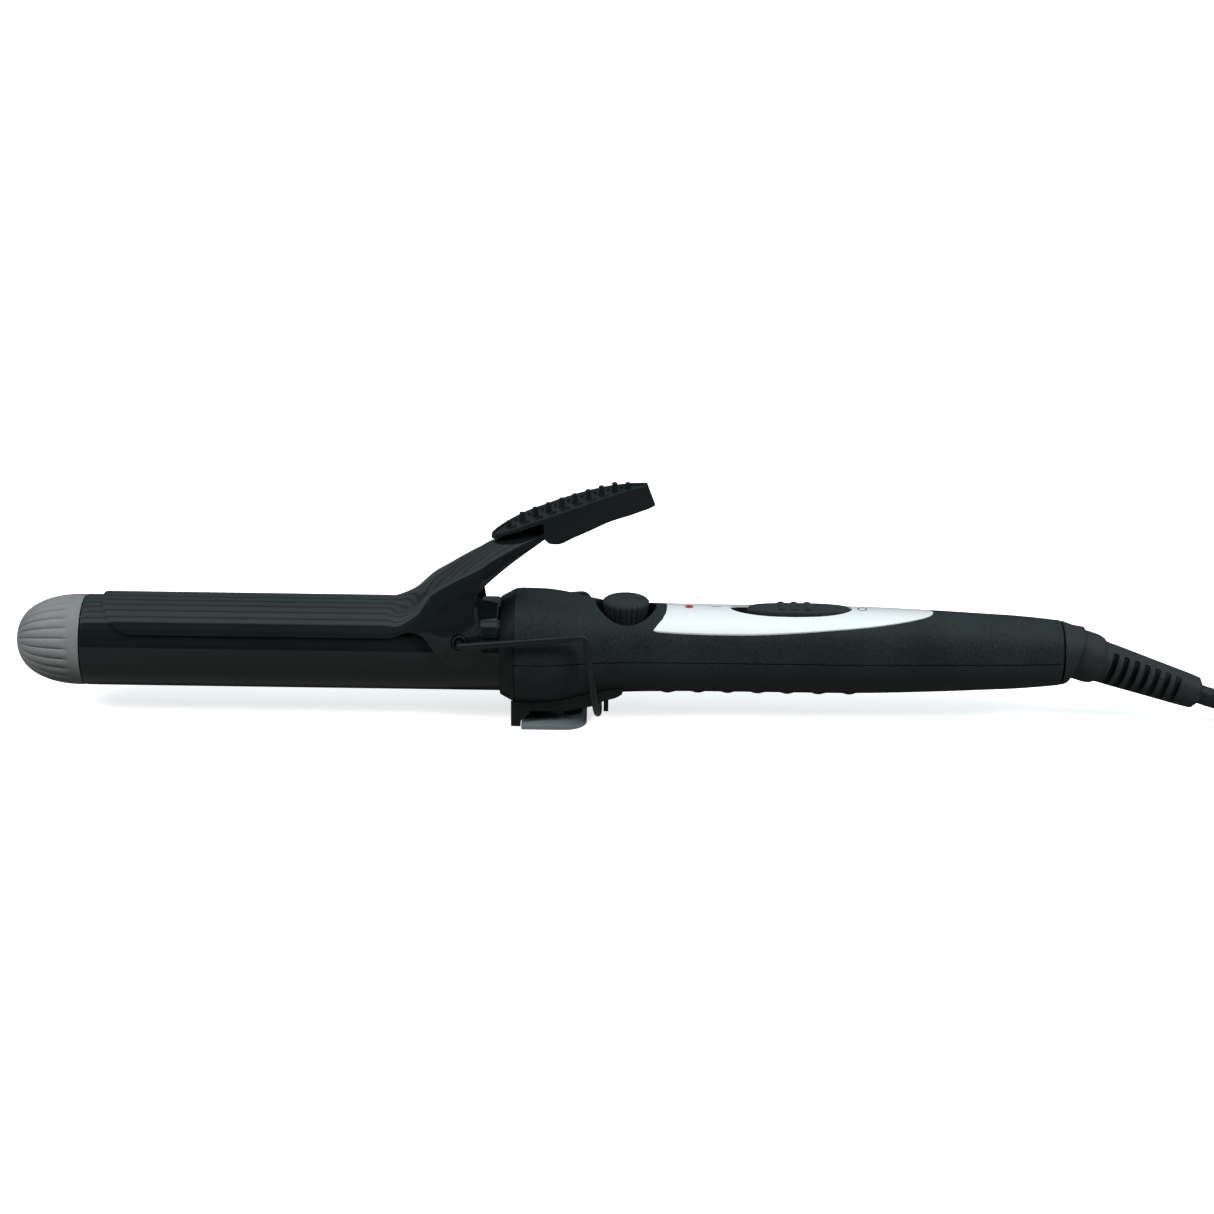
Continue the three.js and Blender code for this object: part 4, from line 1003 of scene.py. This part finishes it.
def make_lens():
    side = [(8.8, 0), (8.8, 1.05), (11.7, 1.05), (11.95, 0.98), (12.12, 0.78), (12.25, 0.42), (12.3, 0)]
    piece(moved(revolve("lamp_lens", side, "z", 40), 36.4), "handle", lens_red, "red_lens", "indicator_lens")


make_knob()
make_slider()
make_lens()


# ---- rest ----------------------------------------------------------------------------------------
def make_heel():
    side = [(-12, 18.2), (1.5, 18.2), (7, 17.2), (11.2, 16.3), (13.2, 15.2), (16.7, 14.2), (18.3, 13.3)]
    rows = [(float(x), float(pchip(side, x))) for x in np.linspace(-12, 18.3, 40)]
    heel = revolve("heel_moulding", [(-12, 0), *rows, (18.6, 12.6), (18.6, 0)], segments=192)
    carve(heel, block("width", -20, 30, -8.8, 8.8, -30, -6), operation="INTERSECT")
    post = slab("post", [(-12, -10), (-12, -20.5), (-9.4, -20.5), (-9.4, -19), (-7, -16.8), (-7, -10)], 8.8)
    extras = [post, rod(-19.2, -15, 3, -5.2), rod(-19.2, -15, 3, 4.6),
              block("catch", 13.4, 14.7, -2.6, 2.6, -18.3, -13)]
    for extra in extras:
        carve(heel, extra, operation="UNION")
    room = revolve("collar_room", [(-16, 0), (-16, 13.5), (-15.1, 13.9), (-11, 16.2), (-11, 0)], segments=96)
    carve(heel, handle_outer(0.15), room, rod(-25, -10, 1.5, 0.2), rod(-25, -15.6, 2.9, 0.2),
          rod(-25, -17, 1.3, -5.2), rod(-25, -17, 1.3, 4.6))
    soften(heel, 0.3, 3, 40)
    piece(heel, "handle", satin_black, "satin_black", "rest_heel", sharp=38)


def make_sole():
    # A real steel foot plate under the heel that the iron stands on, and also a sheet that stands in for the
    # contact shadow under the heel: painted shadow.
    outline = [(-9.1, -11), (8.8, -11), (8.8, 11), (-9.1, 11)]
    corner = []
    for x, y, start in ((2.8, 5, 0), (2.8, -5, 270)):
        corner.append([(x + 6 * math.cos(a),
                        y + 6 * math.sin(a)) for a in np.radians(np.linspace(start, start + 90, 13))])
    outline = [(-9.1, -11), *corner[1], *corner[0], (-9.1, 11)]
    obj = prism("sole_plate_standing_for_shadow", outline, -20.5, -19.5)
    carve(obj, rod(-21, -19, 1.9, -5.2), rod(-21, -19, 1.9, 4.6))
    soften(obj, 0.22, 3, 40)
    piece(obj, "handle", shadow_toned_plate, "steel", "sole_plate", sharp=38)


def make_stand():
    half_width, corner, bottom = 17.5, (8.5, 9.0), (12.0, -18.5)
    centre = bottom[1] + half_width
    slope = (bottom[0] - corner[0]) / (corner[1] - bottom[1])
    near = [(PIVOT_X, -12.6, PIVOT_Z), (PIVOT_X, -half_width, PIVOT_Z), (corner[0], -half_width, corner[1])]
    loop = []
    for angle in np.linspace(0, math.pi, 49):
        z = centre - half_width * math.sin(angle)
        loop.append((corner[0] + slope * (corner[1] - z), -half_width * math.cos(angle), z))
    bent = [near[0], *rounded_corner(near[0], near[1], near[2], 1.9),
            *rounded_corner(near[1], near[2], loop[0], 1.9)]
    path = [*bent, *loop, *[(x, -y, z) for x, y, z in reversed(bent)]]
    obj = sweep("wire_loop", even(path, 0.7), circle(0.95, 14))
    piece(obj, "stand", black_wire, "black_wire", "wire_stand", sharp=50)


def rounded_corner(before, corner, after, reach):
    q = np.array(corner, float)
    a = q + (np.array(before) - q) / np.linalg.norm(np.array(before) - q) * reach
    b = q + (np.array(after) - q) / np.linalg.norm(np.array(after) - q) * reach
    return [tuple((1 - t) ** 2 * a + 2 * t * (1 - t) * q + t * t * b) for t in np.linspace(0, 1, 7)]


make_heel()
make_sole()
make_stand()


# ---- swivel, strain relief, tie and plug ---------------------------------------------------------
def tilted(obj):
    obj.data.transform(Matrix.Rotation(RELIEF_TILT, 4, "Y"))
    return moved(obj, 143)


def make_neck():
    skin = [(138.8, 8.45), (139.0, 8.75), (139.3, 8.8), (140.5, 8.4), (142.5, 7.75), (146.5, 7.15), (150, 7)]
    body = [(117, 0), (117, 2.6), (126, 2.6), (126, 6.6), (128, 6.6), (128, 5.2), (138.8, 5.2),
            *through(skin, 4).tolist(),
            (150, 0)]
    obj = revolve("neck_moulding", body, segments=96)
    carve(obj, tilted(block("beyond", -0.3, 30, -20, 20, -20, 20)))
    soften(obj, 0.2, 2, 40)
    piece(obj, "swivel", rubber, "satin_black", "swivel_neck", sharp=38)


def make_relief():
    """A bulbous root, then a taper with seven slots in each side and solid spines above and below."""
    skin = [(0, 6.75), (0.15, 6.9), (2.4, 6.95), (4.6, 6.9), (6.2, 6.5), (7.6, 5.8), (12, 5.62), (20, 5.25),
            (34.1, 4.6),
            (35.6, 4.15), (36.4, 3.5), (RELIEF_LENGTH, 3.2)]
    profile = [(0, 0), *through(skin, 4).tolist(), (RELIEF_LENGTH, 0)]
    obj = revolve("relief_moulding", profile, segments=96)
    carve(obj, moved(revolve("bore", [(28, 0), (28, 2.85), (39, 2.85), (39, 0)], segments=40)))
    for k in range(7):
        middle = 9.9 + 3.15 * k
        for side in (-1, 1):
            inner, outer = (3.0, 9) if side > 0 else (-9, -3.0)
            reach = 0.8 * float(pchip(skin, middle))
            slot = [(middle - 0.92, -reach), (middle + 0.92, -reach), (middle + 0.92, reach),
                    (middle - 0.92, reach)]
            cutter = prism("slot", fillet(slot, 0.5, closed=True, steps=3)[:-1], inner, outer)
            cutter.data.transform(Matrix.Rotation(math.radians(90), 4, "X"))
            carve(obj, cutter)
    soften(obj, 0.14, 2, 45)
    tilted(obj)
    piece(obj, "swivel", rubber, "rubber_black", "strain_relief", sharp=40)


def make_tie():
    """A woven strap drawn tight round the waist of the hank."""
    outline = [(-17.9, 0.67), (-18.7, 2.6), (-18.7, 9), (-18.6, 15.6), (-17.0, 18.1), (-12, 18.4), (0, 18.35),
               (12, 18.4), (17.0, 18.1), (18.6, 15.6), (18.7, 9), (18.7, 2.6), (17.9, 0.67), (8, 0.62),
               (-8, 0.62)]
    loop = np.array([(WAIST_X, y, z) for y, z in even(through(outline + outline[:1], 8), 0.8)[:-1]])
    band = [(-5, -0.3), (-5, 0.3), (-4.6, 0.42), (4.6, 0.42), (5, 0.3), (5, -0.3), (4.6, -0.42),
            (-4.6, -0.42)]
    obj = sweep("cord_strap", loop, [(v, u) for u, v in band], closed=True, side=(1, 0, 0))
    piece(obj, "swivel", webbing, "satin_black", "cord_tie", lift=0, sharp=45)
    return obj


def superellipse(x, half, high, power=3.2, count=64):
    ring = []
    for i in range(count):
        c, s = math.cos(2 * math.pi * i / count), math.sin(2 * math.pi * i / count)
        ring.append((x, PLUG_Y + half * math.copysign(abs(c) ** (2 / power), c),
                     PLUG_Z + high * math.copysign(abs(s) ** (2 / power), s)))
    return ring


def make_plug():
    # Distance from the face, half width and half height.
    stations = [(0, 11.7, 5.9), (0.15, 12.2, 6.4), (0.7, 12.5, 6.68), (6, 12.5, 6.7), (11, 12.4, 6.7),
                (15, 11.6, 6.6),
                (19, 10, 6.3), (23, 8.6, 6.1), (27, 7.7, 6.0), (31, 7.0, 5.8), (34.6, 6.2, 5.4),
                (35.6, 5.8, 5.05),
                (36, 5.3, 4.6)]
    rings = []
    for back in np.concatenate([[0, 0.07, 0.15, 0.4, 0.7], np.arange(1.5, 34.6, 0.5), [35, 35.6, 35.85, 36]]):
        ripple = 0.28 * max(0.0, math.sin((back - 17) * math.pi / 1.5)) if 17 < back < 32 else 0.0
        half = float(pchip([(s[0], s[1]) for s in stations], back)) - ripple
        high = float(pchip([(s[0], s[2]) for s in stations], back)) - ripple
        rings.append(superellipse(PLUG_FACE - back, half, high))
    obj = loft("plug_moulding", rings)
    piece(obj, "swivel", rubber, "rubber_black", "plug_body", lift=0, sharp=40)
    ribs = [(0.3, 5.2), (2.0, 5.15), (2.3, 4.5), (3.1, 4.5), (3.4, 4.95), (5.0, 4.85), (5.3, 4.2), (6.1, 4.2),
            (6.4, 4.65),
            (8.0, 4.5), (8.3, 3.9), (9.1, 3.9), (9.4, 4.3), (11.0, 4.2), (11.3, 3.7), (12.1, 3.7),
            (12.4, 4.0), (13.8, 3.85),
            (14, 3.6), (14, 3.05), (0.3, 3.05)]
    ribs = [(-along, r) for along, r in ribs]
    relief = moved(revolve("plug_ribs", [*ribs, ribs[0]], segments=64), PLUG_REAR, PLUG_Y, PLUG_Z)
    piece(relief, "swivel", rubber, "rubber_black", "plug_relief", lift=0, sharp=40)
    made = [obj, relief]
    for side, name in ((-1, "near"), (1, "far")):
        at = (PLUG_FACE, PLUG_Y + 9.3 * side, PLUG_Z)
        tip = [(0.3, 0), (0.3, 1.85), (10.3, 1.85), (10.4, 2.0), (17.8, 2.0), (18.5, 1.8), (19.0, 1.3),
               (19.25, 0.7),
               (19.3, 0)]
        pin = moved(revolve("contact_pin_" + name, tip, segments=40), *at)
        piece(pin, "swivel", steel, "steel", "plug_pin_" + name, lift=0)
        sleeve = [(0.3, 1.87), (0.3, 2.02), (10.0, 2.02), (10.2, 1.98), (10.2, 1.87)]
        cover = moved(revolve("pin_sleeve_" + name, [*sleeve, sleeve[0]], segments=40), *at)
        piece(cover, "swivel", rubber, "rubber_black", lift=0)
        made += [pin, cover]
    return made


make_neck()
make_relief()
strap = make_tie()
plug_pieces = make_plug()

# ---- pieces kept from the frame ------------------------------------------------------------------
KEPT = {
    "heater_core": ceramic, "ceramic_bush": ceramic, "heat_shield": ceramic, "thermistor": ceramic,
    "swivel_bush": ceramic, "heat_spreader_upper": aluminium, "heat_spreader_lower": aluminium,
    "thermal_fuse": steel, "thumb_rest_screw": steel, "shell_screw_front": steel, "shell_screw_rear": steel,
    "sole_screw_front": steel, "sole_screw_rear": steel, "potentiometer": steel, "heater_lead_live": rubber,
    "heater_lead_neutral": rubber, "control_board": board_green, "slide_switch": satin_black,
    "indicator_led": lens_red, "slip_ring_live": brass, "slip_ring_neutral": brass, "brush_live": brass,
    "brush_neutral": brass,
}
for name, look in KEPT.items():
    data = nodes[name].data
    data.materials.clear()
    data.materials.append(look)


# ---- stage ---------------------------------------------------------------------------------------
def make_floor():
    mesh = bpy.data.meshes.new("floor")
    edge, drop = 40.0, -3e-4  # metres: half its width, and just under the table plane
    mesh.from_pydata([(-edge, -edge, drop), (edge, -edge, drop), (edge, edge, drop), (-edge, edge, drop)],
                     [],
                     [(0, 1, 2, 3)])
    floor = bpy.data.objects.new("floor", mesh)
    scene.collection.objects.link(floor)
    look = bpy.data.materials.new("pale_floor")
    look.use_nodes = True
    tree = look.node_tree
    shader = tree.nodes["Principled BSDF"]
    shader.inputs["Roughness"].default_value = 0.9
    shader.inputs["Specular IOR Level"].default_value = 0.1
    shader.inputs["Emission Color"].default_value = (1, 1, 1, 1)
    ray = tree.nodes.new("ShaderNodeLightPath")
    glow = tree.nodes.new("ShaderNodeMath")
    glow.operation = "MULTIPLY"
    glow.inputs[1].default_value = 0.7
    tree.links.new(ray.outputs["Is Camera Ray"], glow.inputs[0])
    tree.links.new(glow.outputs[0], shader.inputs["Emission Strength"])
    pale = tree.nodes.new("ShaderNodeMapRange")
    pale.inputs["To Min"].default_value = 0.12
    pale.inputs["To Max"].default_value = 0.9
    tree.links.new(ray.outputs["Is Camera Ray"], pale.inputs["Value"])
    tree.links.new(pale.outputs["Result"], shader.inputs["Base Color"])
    mesh.materials.append(look)


def make_world():
    """A dome that is bright behind and above the object and dim in front, with faint bars across it."""
    world = bpy.data.worlds.new("studio")
    world.use_nodes = True
    scene.world = world
    tree = world.node_tree
    add, link = tree.nodes.new, tree.links.new
    coords = add("ShaderNodeTexCoord")
    split = add("ShaderNodeSeparateXYZ")
    link(coords.outputs["Generated"], split.inputs[0])
    forward = add("ShaderNodeMath")
    forward.operation = "MULTIPLY"
    forward.inputs[1].default_value = -1
    link(split.outputs["Y"], forward.inputs[0])
    lean = add("ShaderNodeMath")
    lean.operation = "ARCTAN2"
    link(forward.outputs[0], lean.inputs[0])
    link(split.outputs["Z"], lean.inputs[1])
    share = add("ShaderNodeMapRange")
    share.inputs["From Min"].default_value = -math.pi / 2
    share.inputs["From Max"].default_value = math.pi / 2
    link(lean.outputs[0], share.inputs["Value"])
    ramp = add("ShaderNodeValToRGB")
    steps = [(0.0, 0.14), (0.12, 0.2), (0.33, 0.5), (0.5, 0.78), (0.64, 0.86), (0.66, 0.12), (0.8, 0.05),
             (1.0, 0.05)]
    elements = ramp.color_ramp.elements
    while len(elements) < len(steps):
        elements.new(0.5)
    for element, (at, level) in zip(elements, steps):
        element.position = at
        element.color = (level * 0.76, level * 0.96, level, 1)
    link(share.outputs["Result"], ramp.inputs["Fac"])
    bars = add("ShaderNodeMath")
    bars.operation = "SINE"
    phase = add("ShaderNodeMath")
    phase.operation = "MULTIPLY"
    phase.inputs[1].default_value = 2 * math.pi * 10
    link(share.outputs["Result"], phase.inputs[0])
    link(phase.outputs[0], bars.inputs[0])
    level = add("ShaderNodeMapRange")
    for key, value in (("From Min", -1), ("From Max", -0.3), ("To Min", 0.45), ("To Max", 1.0)):
        level.inputs[key].default_value = value
    link(bars.outputs[0], level.inputs["Value"])
    background = tree.nodes["Background"]
    link(ramp.outputs["Color"], background.inputs["Color"])
    link(level.outputs["Result"], background.inputs["Strength"])


def make_light(name, at, size, energy):
    data = bpy.data.lights.new(name, "AREA")
    data.shape = "RECTANGLE"
    data.size, data.size_y = size
    data.energy = energy
    light = bpy.data.objects.new(name, data)
    scene.collection.objects.link(light)
    light.visible_glossy = False
    light.location = at
    aim = Vector((0.01, 0, 0.02)) - Vector(at)
    light.rotation_mode = "QUATERNION"
    light.rotation_quaternion = aim.to_track_quat("-Z", "Y")


make_floor()
make_world()
make_light("side_left", (-1.2, -0.7, 1.1), (0.7, 0.7), 27)
make_light("side_right", (1.2, -0.7, 1.1), (0.7, 0.7), 34)
scene.view_settings.view_transform = "Standard"
